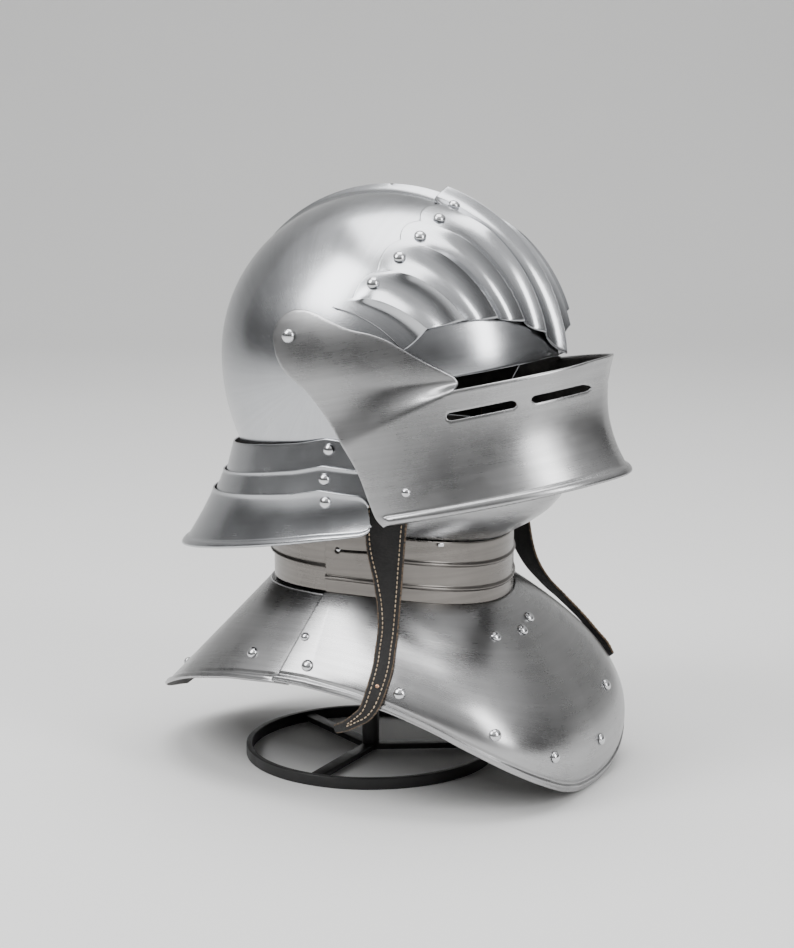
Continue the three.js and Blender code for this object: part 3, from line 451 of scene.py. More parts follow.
def makeLeather(name, finish):
    # Black grained leather: pebbles from cell distances, creases from stretched noise, and the tan of
    # the raw hide where the wear attribute and a breakup noise are high
    material, tree, shader, place = startMaterial(name)
    links = tree.links
    wear = addNode(tree, "ShaderNodeAttribute", attribute_name="wear").outputs["Fac"]
    pebble = addNode(tree, "ShaderNodeTexVoronoi", Scale=finish["poreScale"], feature="SMOOTH_F1")
    links.new(place, pebble.inputs["Vector"])
    crease = noise(tree, place, finish["creaseScale"], 4, (1, 1, 2.4))
    broad = noise(tree, place, 60, 3)
    patches = ramp(tree, broad, [(0.35, 0.0), (0.75, 1.0)])
    black = blendColours(tree, "MIX", patches, (*finish["black"], 1), (*finish["grey"], 1))
    breakup = addNode(tree, "ShaderNodeMath", operation="MULTIPLY_ADD")
    links.new(crease, breakup.inputs[0])
    breakup.inputs[1].default_value = 0.9
    breakup.inputs[2].default_value = -0.45
    worn = addNode(tree, "ShaderNodeMath", operation="ADD")
    links.new(wear, worn.inputs[0])
    links.new(breakup.outputs[0], worn.inputs[1])
    amount = ramp(tree, worn.outputs[0], [(0.45, 0.0), (0.85, 1.0)])
    colour = blendColours(tree, "MIX", amount, black, (*finish["tan"], 1))
    links.new(colour, shader.inputs["Base Color"])
    links.new(ramp(tree, crease, [(0.3, 0.5), (0.7, 0.72)]), shader.inputs["Roughness"])
    shader.inputs["Specular IOR Level"].default_value = 0.35
    height = blendColours(tree, "MIX", 0.5, pebble.outputs["Distance"], crease)
    addBump(tree, shader, height, 0.9, 0.0006)
    return material


def makeThread(name):
    # Waxed thread: pale tan with darker dirt, twisted by fine slanting lines
    material, tree, shader, place = startMaterial(name)
    dirt = noise(tree, place, 500, 3)
    colour = ramp(tree, dirt, [(0.3, (0.26, 0.18, 0.11)), (0.7, (0.62, 0.50, 0.36))])
    tree.links.new(colour, shader.inputs["Base Color"])
    twist = noise(tree, place, 2600, 2, (1, 1, 0.35))
    addBump(tree, shader, twist, 0.5, 0.0002)
    shader.inputs["Roughness"].default_value = 0.75
    return material


def makePaint(name):
    # Satin black paint: an orange-peel bump and a little dust that dulls it
    material, tree, shader, place = startMaterial(name)
    dust = noise(tree, place, 90, 4)
    colour = ramp(tree, dust, [(0.35, (0.006, 0.006, 0.0065)), (0.8, (0.018, 0.0175, 0.017))])
    tree.links.new(colour, shader.inputs["Base Color"])
    tree.links.new(ramp(tree, dust, [(0.3, 0.34), (0.75, 0.55)]), shader.inputs["Roughness"])
    addBump(tree, shader, noise(tree, place, 700, 2), 0.15, 0.0002)
    return material


leather = makeLeather("blackLeather", leatherFinish)
thread = makeThread("strapThread")
blackPaint = makePaint("blackPaint")
copper = makeSteel("copper", steelFinish["copper"])
print("materials made")


skull = {
    "halfWidth": 102,
    "front": 121,
    "back": 121.5,
    "crown": 112,
    "lower": 133,
    "level": 284,
    "combHeight": 5,
    "combHalfWidth": 9,
    "combSoft": 0.004,  # how blunt the comb's crest is
    "combRear": (-115, -50),  # degrees from the crown over which the comb rises from the nape
    "combFront": (60, 95, 125),  # and over which it fades in front, in two steps
    "combAtBrow": 0.4,  # what is left of it between the two steps
    "wall": 1.5,
    # lower edge in the side view, as shares of the reach and of the height above or below the level
    "edge": [
        (-1.15, 0.095),
        (-0.64, -0.005),
        (-0.5, -0.05),
        (-0.42, -0.17),
        (-0.38, -0.34),
        (-0.33, -0.41),
        (0, -0.41),
        (1.1, -0.54),
    ],
}


def skullPoint(across, along, offset, comb):
    # Two half ellipsoids: x is the sine of the sideways angle, y and z are its cosine times the sine
    # and cosine of the angle forwards from the crown. The comb pinches the middle up by the square of
    # the nearness to the middle.
    reach = np.where((along > 0) & (along < np.pi), skull["front"], skull["back"])
    rise = np.where(np.cos(along) > 0, skull["crown"], skull["lower"])
    half = skull["combHalfWidth"] / skull["halfWidth"]
    turned = np.degrees(along)
    first, second, third = skull["combFront"]
    left = skull["combAtBrow"]
    foreFade = 1 - (1 - left) * ease(first, second, turned) - left * ease(second, third, turned)
    near = np.sqrt(across**2 + skull["combSoft"] ** 2)
    pinch = np.maximum(0, 1 - near / half) ** 2
    d = offset + comb * skull["combHeight"] * ease(*skull["combRear"], turned) * foreFade * pinch
    return np.stack(
        [
            (skull["halfWidth"] + offset) * np.sin(across),
            -(reach + d) * np.cos(across) * np.sin(along),
            skull["level"] + (rise + d) * np.cos(across) * np.cos(along),
        ],
        -1,
    )


def skullHalfWidth(y, z, offset):
    # The ellipsoid's equation solved for x
    reach = np.where(y < 0, skull["front"], skull["back"]) + offset
    rise = np.where(z > skull["level"], skull["crown"], skull["lower"]) + offset
    rest = 1 - (y / reach) ** 2 - ((z - skull["level"]) / rise) ** 2
    return (skull["halfWidth"] + offset) * np.sqrt(np.maximum(rest, 0.02))


def makeSkull():
    # Columns run down from the crown, each to the place where it meets the lower edge, which is found
    # by halving the angle
    fine = np.linspace(-12, 12, 97)
    coarse = np.linspace(12, 168, 261)
    turns = np.unique(np.concatenate([fine, coarse, fine + 180, coarse + 180]))
    turns = np.radians(turns[(turns >= -12) & (turns < 348)])

    def place(theta):
        # Sideways and forward angles of a direction that leans theta from straight up
        aside, ahead, up = np.sin(theta) * np.sin(turns), np.sin(theta) * np.cos(turns), np.cos(theta)
        return np.arcsin(np.clip(aside, -1, 1)), np.arctan2(ahead, up * np.ones_like(turns))

    rows = np.array(skull["edge"], float)
    edgeY = rows[:, 0] * np.where(rows[:, 0] < 0, skull["front"], skull["back"])
    edgeZ = skull["level"] + rows[:, 1] * np.where(rows[:, 1] > 0, skull["crown"], skull["lower"])
    low, high = np.full_like(turns, 1.0), np.full_like(turns, 2.6)
    for _ in range(40):
        middle = (low + high) / 2
        across, along = place(middle)
        at = skullPoint(across, along, 0, 0)
        above = at[:, 2] > np.interp(at[:, 1], edgeY, edgeZ)
        low, high = np.where(above, middle, low), np.where(above, high, middle)
    shares = np.linspace(0, 1, 130)
    angles = [place(low * share) for share in shares]
    across = np.stack([a for a, _ in angles], 1)
    along = np.stack([b for _, b in angles], 1)
    outer = skullPoint(across, along, 0, 1)
    inner = skullPoint(across, along, -skull["wall"], 1)
    points, faces, origin, inside = shellGrid(outer, inner, wraps=True, pole=True)
    grain = layOut(origin, np.sin(across) * 110, along * 118)
    makePiece("skullPlate", points, faces, steelBright, ["skull"], grain=grain, inside=inside)


makeSkull()
print("skull made")

brow = {
    "gap": 1.1,
    "wall": 1.5,
    "creaseHeight": 4.4,
    "keelRear": 7.4,
    "keelFront": 6,
    "lobe": 2.6,
    # for each line from the side edge to the keel: sideways shares at its rear end, middle and front
    # end, and the degrees forward of the crown at its two ends
    "lines": [
        (0.925, 0.915, 0.885, 8, 71),
        (0.888, 0.852, 0.8, 20, 63.5),
        (0.775, 0.71, 0.654, 23.2, 65.7),
        (0.598, 0.54, 0.499, 22.6, 68.7),
        (0.417, 0.37, 0.34, 22.6, 72.2),
        (0.165, 0.17, 0.185, 21.6, 77.4),
        (0, 0, 0, 18.5, 85.5),
    ],
}


def browPoint(u, v, offset):
    # Between two lines the place is straight in t, each line bends as a parabola through its three
    # shares, and the rise over the skull is the square of the distance from the panel's middle
    lines = np.array(brow["lines"], float)
    panels = len(lines) - 1
    place = panels * (1 - np.minimum(np.abs(u), 1))
    i = np.minimum(np.floor(place + 1e-9).astype(int), panels - 1)
    t = np.clip(place - i, 0, 1)
    a, b = lines[i], lines[i + 1]

    def share(line):
        # The parabola through the line's three shares
        bend = line[..., 0] * (1 - v) * (1 - 2 * v) + 4 * line[..., 1] * v * (1 - v)
        return bend + line[..., 2] * v * (2 * v - 1)

    across = mix(share(a), share(b), t)
    lobe = brow["lobe"] * (1 - (2 * t - 1) ** 2) * (i > 0)
    angle = mix(mix(a[..., 3], b[..., 3], t) - lobe, mix(a[..., 4], b[..., 4], t), v)
    line = np.where(t < 0.5, i, i + 1)
    keel = mix(brow["keelRear"], brow["keelFront"], v)
    crease = np.where(line == 0, 0, np.where(line == panels, keel, brow["creaseHeight"] * ease(0, 0.4, v)))
    rise = (2 * t - 1) ** 2 * crease
    return skullPoint(np.sign(u) * np.arcsin(across), np.radians(angle), offset + rise, 0)


def makeBrowPlate():
    # Columns crowd towards each line, as one less the cosine of an even angle, so the creases stay
    # sharp. The inner face is the same formula with a smaller offset.
    panels = len(brow["lines"]) - 1
    spread = (1 - np.cos(np.pi * np.arange(20) / 20)) / 2
    half = np.concatenate([(k + spread) / panels for k in range(panels)])
    u, v = np.meshgrid(np.concatenate([half - 1, [0], 1 - half[::-1]]), np.linspace(0, 1, 80), indexing="ij")
    outer = browPoint(u, v, brow["gap"] + brow["wall"])
    inner = browPoint(u, v, brow["gap"])
    points, faces, origin, inside = shellGrid(outer, inner)
    grain = layOut(origin, v * 95, u * 190)
    makePiece("browPlate", points, faces, steelBright, ["brow_plate"], grain=grain, inside=inside)


makeBrowPlate()
print("brow plate made")

visor = {
    "pitch": 12,
    "halfWidth": 108,
    "prowWaist": 162,
    "prowFlare": 10.2,
    "prowLean": 1.4,
    "top": -52.6,
    "bottom": -131,
    "slotHeight": 6.3,
    "slotDrop": 16.2,
    "rollHeight": 6,
    "rollOut": 2,
    "rollStart": 5,  # the length over which the roll rises at its rear end
    "hug": 5.2,
    "wall": 1.5,
    "start": 20,  # where the pointed plan begins, in front of the pivot
    "behind": 20,  # how far behind the pivot the arms reach
    "planPower": 1.2,  # how pointed the plan is
    "creaseFrom": 100,  # behind this the crease under the arm falls by its slope and widens by its spread
    "creaseSlope": 0.33,
    "creaseUnder": 0.5,
    "creaseWidth": 5,
    "creaseSpread": 0.5,
    "corner": 0.624,
    "slots": [(0.58, 0.818), (0.858, 1.012)],
    "arm": [
        (0.612, -0.344),
        (0.58, -0.305),
        (0.519, -0.237),
        (0.45, -0.156),
        (0.408, -0.111),
        (0.352, -0.069),
        (0.257, -0.02),
        (0.19, 0.032),
        (0.135, 0.076),
        (0.08, 0.107),
        (0.031, 0.118),
        (-0.024, 0.102),
        (-0.064, 0.061),
        (-0.083, 0),
        (-0.08, -0.069),
        (-0.058, -0.145),
        (-0.012, -0.214),
        (0.043, -0.286),
        (0.089, -0.382),
        (0.125, -0.473),
        (0.159, -0.573),
        (0.19, -0.664),
        (0.211, -0.748),
        (0.226, -0.847),
        (0.245, -0.954),
        (0.269, -1),
    ],
}
pivot = {
    "back": 22,
    "height": 307.7,
    "headRadius": 4.6,
    "headHeight": 3,
    "innerHead": 2,
    "shankRadius": 2.5,
    "seat": 0.35,
}


def visorToSide(f, n):
    # The visor's own frame, turned up at the front by its pitch about the pivot
    pitch = math.radians(visor["pitch"])
    y = pivot["back"] - f * math.cos(pitch) + n * math.sin(pitch)
    return y, pivot["height"] + f * math.sin(pitch) + n * math.cos(pitch)


def prowReach(n):
    # A parabola in the height, hollow in the middle, plus a lean forwards at the top
    middle, half = (visor["top"] + visor["bottom"]) / 2, (visor["top"] - visor["bottom"]) / 2
    t = np.clip((n - middle) / half, -1.05, 1.1)
    return visor["prowWaist"] + visor["prowFlare"] * t * t + visor["prowLean"] * t


def visorTurn(f, n):
    # The angle round the plan whose cosine is the share of the way from the start to the prow, times
    # the length from start to prow at the waist
    start = visor["start"]
    q = (f - start) / (prowReach(n) - start)
    turn = np.where(q >= 0, np.arccos(np.clip(q, 0, 1)), np.pi / 2 - q)
    return turn * (visor["prowWaist"] - start)


def visorSurface(flat):
    # Half width is a power of the sine of the turn on the pointed part, and the skull's own form
    # on the arms, with an easing across the crease between them. The lower edge is rolled outwards.
    p, n = flat[..., 0], flat[..., 1]
    start = visor["start"]
    turn = np.abs(p) / (visor["prowWaist"] - start)
    reach = prowReach(n) - start
    quarter = np.minimum(turn, np.pi / 2)
    f = start + np.where(turn < np.pi / 2, reach * np.cos(quarter), -reach * (turn - np.pi / 2))
    beak = visor["halfWidth"] * np.sin(quarter) ** visor["planPower"]
    y, z = visorToSide(f, n)
    arm = skullHalfWidth(y, z, visor["hug"])
    behind = np.maximum(0, visor["creaseFrom"] - f)
    crease = visor["top"] - visor["creaseUnder"] - visor["creaseSlope"] * behind
    t = np.clip((n - crease) / (visor["creaseWidth"] + visor["creaseSpread"] * behind), 0, 1)
    width = mix(beak, arm, t * t * (3 - 2 * t))
    inRoll = np.clip(np.abs(n - visor["bottom"] - visor["rollHeight"] / 2) / (visor["rollHeight"] / 2), 0, 1)
    rollStart = visor["arm"][-1][0] * visor["prowWaist"]
    endRoll = ease(rollStart, rollStart + visor["rollStart"], f)
    roll = visor["rollOut"] * np.sqrt(1 - inRoll * inRoll) * endRoll
    share = np.clip((f + visor["behind"]) / (prowReach(n) + visor["behind"]), 0, 1)
    y, z = visorToSide(f + roll * ease(0.6, 1, share), n)
    return np.stack([np.sign(p) * (width + roll * np.minimum(1, (1 - share) * 8)), y, z], -1)


def makeVisor():
    # The outline is the smoothed table of the arm between straight upper and lower edges, laid flat
    # by the turn. Each slot is two half circles joined by straight lines. The rows crowd in the roll.
    waist, low = visor["prowWaist"], visor["bottom"]
    rows = np.array(visor["arm"]) * [waist, -low]
    count = np.arange(len(rows))
    t = np.linspace(0, len(rows) - 1, 10 * len(rows))
    arm = np.stack([smoothTable(count, rows[:, 0], t), smoothTable(count, rows[:, 1], t)], -1)
    ends = visorTurn(np.array([visor["corner"] * waist, rows[-1, 0]]), np.array([visor["top"], low]))
    sight = np.stack([np.linspace(0, ends[0], 120), np.full(120, visor["top"])], -1)
    lower = np.stack([np.linspace(ends[1], 0, 180), np.full(180, low)], -1)
    turned = np.vstack([sight, np.stack([visorTurn(arm[:, 0], arm[:, 1]), arm[:, 1]], -1), lower[1:]])
    outline = np.vstack([turned, turned[1:-1][::-1] * [-1, 1]])
    holes = []
    radius, middle = visor["slotHeight"] / 2, visor["top"] - visor["slotDrop"]
    for slot in visor["slots"]:
        begin, end = slot[0] * waist + radius, slot[1] * waist - radius
        front = np.radians(np.linspace(-90, 90, 15))
        ends = [(end + radius * np.cos(front), middle + radius * np.sin(front))]
        ends.append((begin - radius * np.cos(front), middle - radius * np.sin(front)))
        ring = np.hstack(ends).T
        step = (np.arange(12) / 12)[:, None]
        ring = np.vstack([a + (b - a) * step for a, b in zip(ring, np.roll(ring, -1, 0))])
        for sign in (1, -1):
            holes.append(np.stack([sign * visorTurn(ring[:, 0], ring[:, 1]), ring[:, 1]], -1))
    rollRows = low + visor["rollHeight"] * (1 - np.cos(np.pi * np.arange(1, 16) / 16)) / 2
    rows = np.concatenate([rollRows, np.arange(low + visor["rollHeight"] + 0.4, 22, 1.5)])
    points, faces, flat, inside = shellTrimmed(
        outline, holes, np.arange(-270, 270.1, 1.5), rows, visorSurface, visor["wall"], 1.2
    )
    makePiece("visorPlate", points, faces, steelBrushed, ["visor"], "visor_body", grain=flat, inside=inside)


makeVisor()
print("visor made")

tail = {
    "wall": 1.2,
    "peak": 1.6,
    "peakWidth": 22,
    "hemRoll": 1.9,
    "hemHalf": 0.065,  # half of the rolled hem's share of the last lame's height
    "lip": 0.45,  # how far the free top edges of the two lower lames stand out
    "cornerCut": 0.2,
    # rings at the top and bottom of each lame: half width, reach to the back and depth below the widest
    # level as shares of the skull's own, and how much the ring falls towards the back. Then the degrees
    # that the lame runs round from the back, how hollow it is and the length of its rounded corner.
    "lames": [
        ((0.957, 0.933, 0.338, 0.155), (0.99, 0.996, 0.523, 0.168), 110, 0, 0),
        ((1.007, 0.994, 0.468, 0.168), (1.033, 1.074, 0.639, 0.14), 110, 0, 0),
        ((1.049, 1.061, 0.585, 0.138), (1.108, 1.284, 0.82, 0.19), 105, 1.6, 3.4),
    ],
}


bodyOfLame = [fixed, "tail_lame_2_body", "tail_lame_3_body"]


def lameSurface(index, u, v):
    # Each ring is an ellipse cut at a slope, and the lame is straight between its two rings but for
    # its hollow and the rolled hem. Its top edge lifts to a low peak over the rivets.
    top, bottom, reach, bow, corner = tail["lames"][index]
    rest = np.clip(1 - (reach - np.abs(u)) / corner, 0, 1) if corner else np.zeros_like(u)
    cut = tail["cornerCut"] * (1 - np.sqrt(1 - rest * rest))
    place = mix(cut, 1 - cut, v)
    width, back, depth, slope = (mix(a, b, place) for a, b in zip(top, bottom))
    inHem = np.clip(1 - np.abs(v - 1 + tail["hemHalf"]) / tail["hemHalf"], 0, 1)
    hem = tail["hemRoll"] * np.sqrt(inHem * (2 - inHem)) if corner else 0
    lip = tail["lip"] * np.clip(1 - v / 0.08, 0, 1) ** 2 if index else 0
    out = hem + lip - bow * 4 * place * (1 - place)
    angle = np.radians(180 + u)
    y = -(back * skull["back"] + out) * np.cos(angle)
    fall = slope * y * np.where(y > 0, 1, place)
    peak = tail["peak"] * (1 - place) * np.maximum(0, 1 - np.abs(y + 2) / tail["peakWidth"])
    z = skull["level"] - depth * skull["lower"] - fall + peak
    return np.stack([(width * skull["halfWidth"] + out) * np.sin(angle), y, z], -1)


def makeLames():
    # Degrees round by shares down. The last lame's end columns and hem rows crowd as one less the
    # cosine of an even angle. The inner face is the outer one less its normal times the wall.
    for i, body in enumerate(bodyOfLame):
        reach, corner = tail["lames"][i][2], tail["lames"][i][4]
        side, v = np.linspace(reach, 0, 120), np.linspace(0, 1, 24)
        if corner:
            rounded = reach - corner * (1 - np.cos(np.pi * np.arange(14) / 26))
            side = np.concatenate([rounded, np.linspace(reach - corner, 0, 110)[1:]])
            hem = 1 - 2 * tail["hemHalf"]
            inHem = tail["hemHalf"] * (1 - np.cos(np.pi * np.arange(1, 17) / 16))
            v = np.concatenate([np.linspace(0, hem, 30), hem + inHem])
        u = np.concatenate([-side, side[:-1][::-1]])
        gridU, gridV = np.meshgrid(u, v, indexing="ij")
        outer = lameSurface(i, gridU, gridV)
        inner = outer - gridNormals(outer) * tail["wall"]
        points, faces, origin, inside = shellGrid(outer, inner)
        grain = layOut(origin, gridU * 2, gridV * 35)
        nodes = [f"tail_lame_{i + 1}"]
        makePiece(f"tailLame{i + 1}", points, faces, steelBright, nodes, body, grain=grain, inside=inside)


makeLames()
print("tail lames made")

collar = {
    "radius": 84,
    "wall": 1.5,
    "lameWall": 1.2,
    "gap": 0.6,
    "frontTop": 165,
    "sideTop": 176,
    "frontBottom": 123.5,
    "sideBottom": 135.5,
    "rib": 1.2,
    "ribs": (0.24, 0.64),
    "ribHalf": 0.045,
    "ribFade": (60, 74),  # degrees round from the front over which the upper rib fades
    "backDrop": 4,
    "seamNeck": 94.7,
    "seamRim": 101.6,
    "tuck": 5,
    "gapLine": 151.5,
    "lap": 4,  # how far the lower rear lame runs up behind the upper one, and over the stud
    "overStud": 5,
    "seamGap": 0.5,  # degrees between the front plate and the upper rear lame
    "keyhole": {"angle": 88.7, "height": 164.4, "radius": 2.6, "length": 22, "gauge": 2.2},
}


def around(r, angle, z):
    # Radius times the sine and the cosine of the angle from the front, at a height
    return np.stack(np.broadcast_arrays(r * np.sin(angle), -r * np.cos(angle), z), -1)


def collarTop(angle):
    # From the front's height to the side's by the square of the sine
    return mix(collar["frontTop"], collar["sideTop"], np.sin(angle) ** 2)


def collarBottom(angle):
    # From the front's or the back's height to the side's by the square of the sine
    middle = np.where(np.cos(angle) > 0, collar["frontBottom"], collar["sideBottom"] - collar["backDrop"])
    return mix(middle, collar["sideBottom"], np.sin(angle) ** 2)


def frontCollarSurface(flat):
    # A cylinder with two ribs, each the square of one less the squared distance from its middle
    angle, z = flat[..., 0] / collar["radius"], flat[..., 1]
    v = (z - collarBottom(angle)) / (collarTop(angle) - collarBottom(angle))
    lower, upper = (np.clip(1 - ((v - rib) / collar["ribHalf"]) ** 2, 0, 1) ** 2 for rib in collar["ribs"])
    upper = upper * (1 - ease(*collar["ribFade"], np.abs(np.degrees(angle))))
    return around(collar["radius"] + collar["rib"] * (lower + upper), angle, z)


def makeCollar():
    # The front plate is cut to its two edges with a keyhole at each side: a circle opened for a slot
    # whose end is a half circle. A rear lame is a cylinder between its two heights.
    radius, seam = collar["radius"], math.radians(collar["seamNeck"])
    angles = np.linspace(-seam, seam, 200)
    bottom = np.stack([angles * radius, collarBottom(angles)], -1)
    top = np.stack([angles * radius, collarTop(angles)], -1)[::-1]
    keyhole = collar["keyhole"]
    bend = math.asin(keyhole["gauge"] / 2 / keyhole["radius"])
    turn = np.linspace(math.pi - bend, bend - math.pi, 24)
    eye = np.stack([keyhole["radius"] * np.cos(turn), keyhole["radius"] * np.sin(turn)], -1)
    end = np.radians(np.linspace(-90, -270, 9))
    tip = np.stack([keyhole["gauge"] / 2 * np.cos(end), keyhole["gauge"] / 2 * np.sin(end)], -1)
    ring = np.vstack([eye, tip - [keyhole["length"], 0]])
    place = np.array([math.radians(keyhole["angle"]) * radius, keyhole["height"]])
    holes = [place + ring, (place + ring) * [-1, 1]]
    low = collar["frontBottom"]
    points, faces, flat, inside = shellTrimmed(
        np.vstack([bottom, top]),
        holes,
        np.arange(-seam * radius, seam * radius, 1.1),
        np.arange(low, collar["sideTop"], 0.5),
        frontCollarSurface,
        collar["wall"],
        0.9,
    )
    makePiece("frontCollar", points, faces, steelCollar, ["front_collar"], grain=flat, inside=inside)

    lower = radius - collar["wall"] - collar["gap"]
    begin = collar["seamNeck"] - collar["tuck"]
    a = np.radians(np.linspace(begin, 360 - begin, 260))
    rest = np.degrees(np.minimum(a, 2 * np.pi - a))
    studTop = keyhole["height"] + collar["overStud"]
    lameTop = mix(studTop, collar["gapLine"] + collar["lap"], ease(96, 110, rest))
    v = np.linspace(0, 1, 16)
    z = mix(collarBottom(a)[:, None], lameTop[:, None], v[None])
    outer, inner = (around(r, a[:, None] * np.ones_like(v), z) for r in (lower, lower - collar["lameWall"]))
    points, faces, origin, inside = shellGrid(outer, inner)
    grain = layOut(origin, a[:, None] * radius, z)
    nodes = ["rear_collar_lower"]
    makePiece(
        "rearCollarLower", points, faces, steelCollar, nodes, grain=grain, inside=inside
    )

    upper = lower + collar["gap"] + collar["lameWall"]
    begin = collar["seamNeck"] + collar["seamGap"]
    a = np.radians(np.linspace(begin, 360 - begin, 260))
    v = np.linspace(0, 1, 24)
    flare = upper + np.clip(1 - v[None] / 0.1, 0, 1)
    z = mix(collar["gapLine"], collarTop(a)[:, None], v[None])
    outer, inner = (around(r, a[:, None] * np.ones_like(v), z) for r in (flare, flare - collar["lameWall"]))
    points, faces, origin, inside = shellGrid(outer, inner)
    grain = layOut(origin, a[:, None] * radius, z)
    nodes = ["rear_collar_upper"]
    makePiece("rearCollarUpper", points, faces, steelCollar, nodes, grain=grain, inside=inside)


makeCollar()
print("collar made")

gorget = {
    "wall": 1.5,
    "neckDrop": 8,
    "bead": 1.3,
    "border": 7,
    "front": 152,
    "side": 125,
    "back": 171,
    "frontRim": 2.5,
    "sideRim": 82.5,
    "backRim": 33,
    "rearInset": 2.1,  # how far the rear plate lies under the front one
    "flangeRow": 0.05,  # rows where the flat flange ends and where the border begins
    "borderRow": 0.8,
    "square": 3.3,
    "bulge": 10,
    # angle from the front, fall of the rim from the shoulder, and how convex the plate is
    "rim": [
        (0, 1, 0.6),
        (8, 0.98, 0.6),
        (16, 0.92, 0.58),
        (26, 0.775, 0.54),
        (35, 0.61, 0.48),
        (44, 0.43, 0.4),
        (54, 0.25, 0.33),
        (65, 0.125, 0.27),
        (78, 0.045, 0.2),
        (98, 0, 0.12),
        (116, 0.05, 0.05),
        (130, 0.17, 0.02),
        (140, 0.3, 0),
        (155, 0.58, 0),
        (170, 0.87, 0),
        (180, 1, 0),
    ],
    # raised bead and the sunk line inside it, by share of the way to the rim
    "relief": [(0, 0), (0.8, 0), (0.86, -0.6), (0.95, 1), (1, 0.7)],
}


def gorgetPoint(degrees, v, inset):
    # A neck, a flat flange, then a plate whose plan is a superellipse. On the way out it follows a
    # blend of a straight line and a quarter of a sine, plus a bulge in front.
    angle = np.radians(degrees)
    isFront = np.cos(angle) > 0
    neck = collar["radius"] - collar["wall"] - collar["lameWall"] - 2 * collar["gap"]
    turnOut = collarBottom(angle) - collar["gap"]
    flange = collar["radius"] + 1 - neck
    square = np.where(isFront, gorget["square"], 2)
    ahead = np.abs(np.cos(angle)) / np.where(isFront, gorget["front"], gorget["back"])
    aside = np.abs(np.sin(angle)) / gorget["side"]
    reach = (ahead**square + aside**square) ** (-1 / square) - neck - flange
    turned = np.abs((degrees + 180) % 360 - 180)
    rows = np.array(gorget["rim"], float)
    fall = smoothTable(rows[:, 0], rows[:, 1], turned)
    bend = smoothTable(rows[:, 0], rows[:, 2], turned)
    low = mix(gorget["sideRim"], np.where(isFront, gorget["frontRim"], gorget["backRim"]), fall)
    drop = turnOut - low
    border = gorget["border"] / np.hypot(reach, drop)
    flangeRow, borderRow = gorget["flangeRow"], gorget["borderRow"]
    field = (v - flangeRow) / (borderRow - flangeRow) * (1 - border)
    along = np.where(v < borderRow, field, 1 - border * (1 - v) / (1 - borderRow))
    along = np.clip(along, 0, 1)
    out = mix(along, np.sin(along * np.pi / 2), bend)
    down = mix(along, 1 - np.cos(along * np.pi / 2), bend)
    bulge = gorget["bulge"] * np.maximum(0, np.cos(angle)) * 9.5 * along**3 * (1 - along)
    tilt = np.arctan2(reach * (1 - bend * along), drop * (0.4 + along * bend))
    far = neck + flange + reach * out + bulge - inset * np.cos(tilt)
    onPlate = around(far, angle, turnOut - drop * down - inset * np.sin(tilt))
    share = v / flangeRow
    onFlange = around(neck + flange * share - inset * (1 - share), angle, turnOut - inset * 0.8)
    onNeck = around(neck - inset, angle, turnOut - v * gorget["neckDrop"] - inset * 0.6)
    return np.where((v < 0)[..., None], onNeck, np.where((v < flangeRow)[..., None], onFlange, onPlate))


def makeGorget():
    # Each plate is gorgetPoint over degrees and rows, less the bead times how much of it shows: all
    # of the front plate, and the rear one but for its ends, which ease in under the front one
    up = np.linspace(-1, 0, 8)[:-1]
    flange = np.linspace(0, gorget["flangeRow"], 10)[:-1]
    field = np.linspace(gorget["flangeRow"], gorget["borderRow"], 70)[:-1]
    v = np.concatenate([up, flange, field, np.linspace(gorget["borderRow"], 1, 40)])
    seam = mix(collar["seamNeck"], collar["seamRim"], np.clip(v, 0, 1))
    relief = np.array(gorget["relief"])
    bead = gorget["bead"] * smoothTable(relief[:, 0], relief[:, 1], np.maximum(v, 0))
    under = collar["tuck"] / (360 - 2 * collar["seamNeck"])
    rearInset = gorget["rearInset"]
    tuck = seam - collar["tuck"]
    plates = {"gorget_front": (-seam, seam, 0, 420), "gorget_rear": (tuck, 360 - tuck, rearInset, 380)}
    for node, (start, end, deeper, count) in plates.items():
        u = np.linspace(0, 1, count)
        shown = ease(under, 2 * under, np.minimum(u, 1 - u)) if deeper else np.ones(count)
        degrees = mix(start[None], end[None], u[:, None])
        rows = v[None] * np.ones_like(degrees)
        outer = gorgetPoint(degrees, rows, deeper - shown[:, None] * bead[None])
        inner = gorgetPoint(degrees, rows, deeper + gorget["wall"])
        points, faces, origin, inside = shellGrid(outer, inner)
        grain = layOut(origin, degrees * 2.2, rows * 110)
        name = node.title().replace("_", "")
        makePiece(name, points, faces, steelBrushed, [node], grain=grain, inside=inside)


makeGorget()
print("gorget made")

chin = {
    "front": 127.5,
    "side": 85.5,
    "top": 225,
    "endAngle": 84,
    "neckDrop": 7,
    "overCollar": 0.5,
    "wall": 1.5,
    # share of the height above the collar, and how far out it stands in front and at the sides
    "sections": [
        (0, 0, 0),
        (0.07, 0.17, 0.15),
        (0.2, 0.46, 0.4),
        (0.36, 0.73, 0.7),
        (0.54, 0.91, 0.9),
        (0.76, 1, 1),
        (1, 1, 1),
    ],
}


def chinPoint(angle, height, inset):
    # An ellipse at each height whose two reaches follow the table of sections
    rows = np.array(chin["sections"])
    neck = collar["radius"] - collar["wall"] - collar["gap"]
    edge = collarTop(angle) + chin["overCollar"]
    up = np.maximum(height, 0)
    front = mix(neck, chin["front"], smoothTable(rows[:, 0], rows[:, 1], up)) - inset
    side = mix(neck, chin["side"], smoothTable(rows[:, 0], rows[:, 2], up)) - inset
    z = np.where(height < 0, edge + height * chin["neckDrop"], mix(edge, chin["top"], up))
    return np.stack([side * np.sin(angle), -front * np.cos(angle), z], -1)


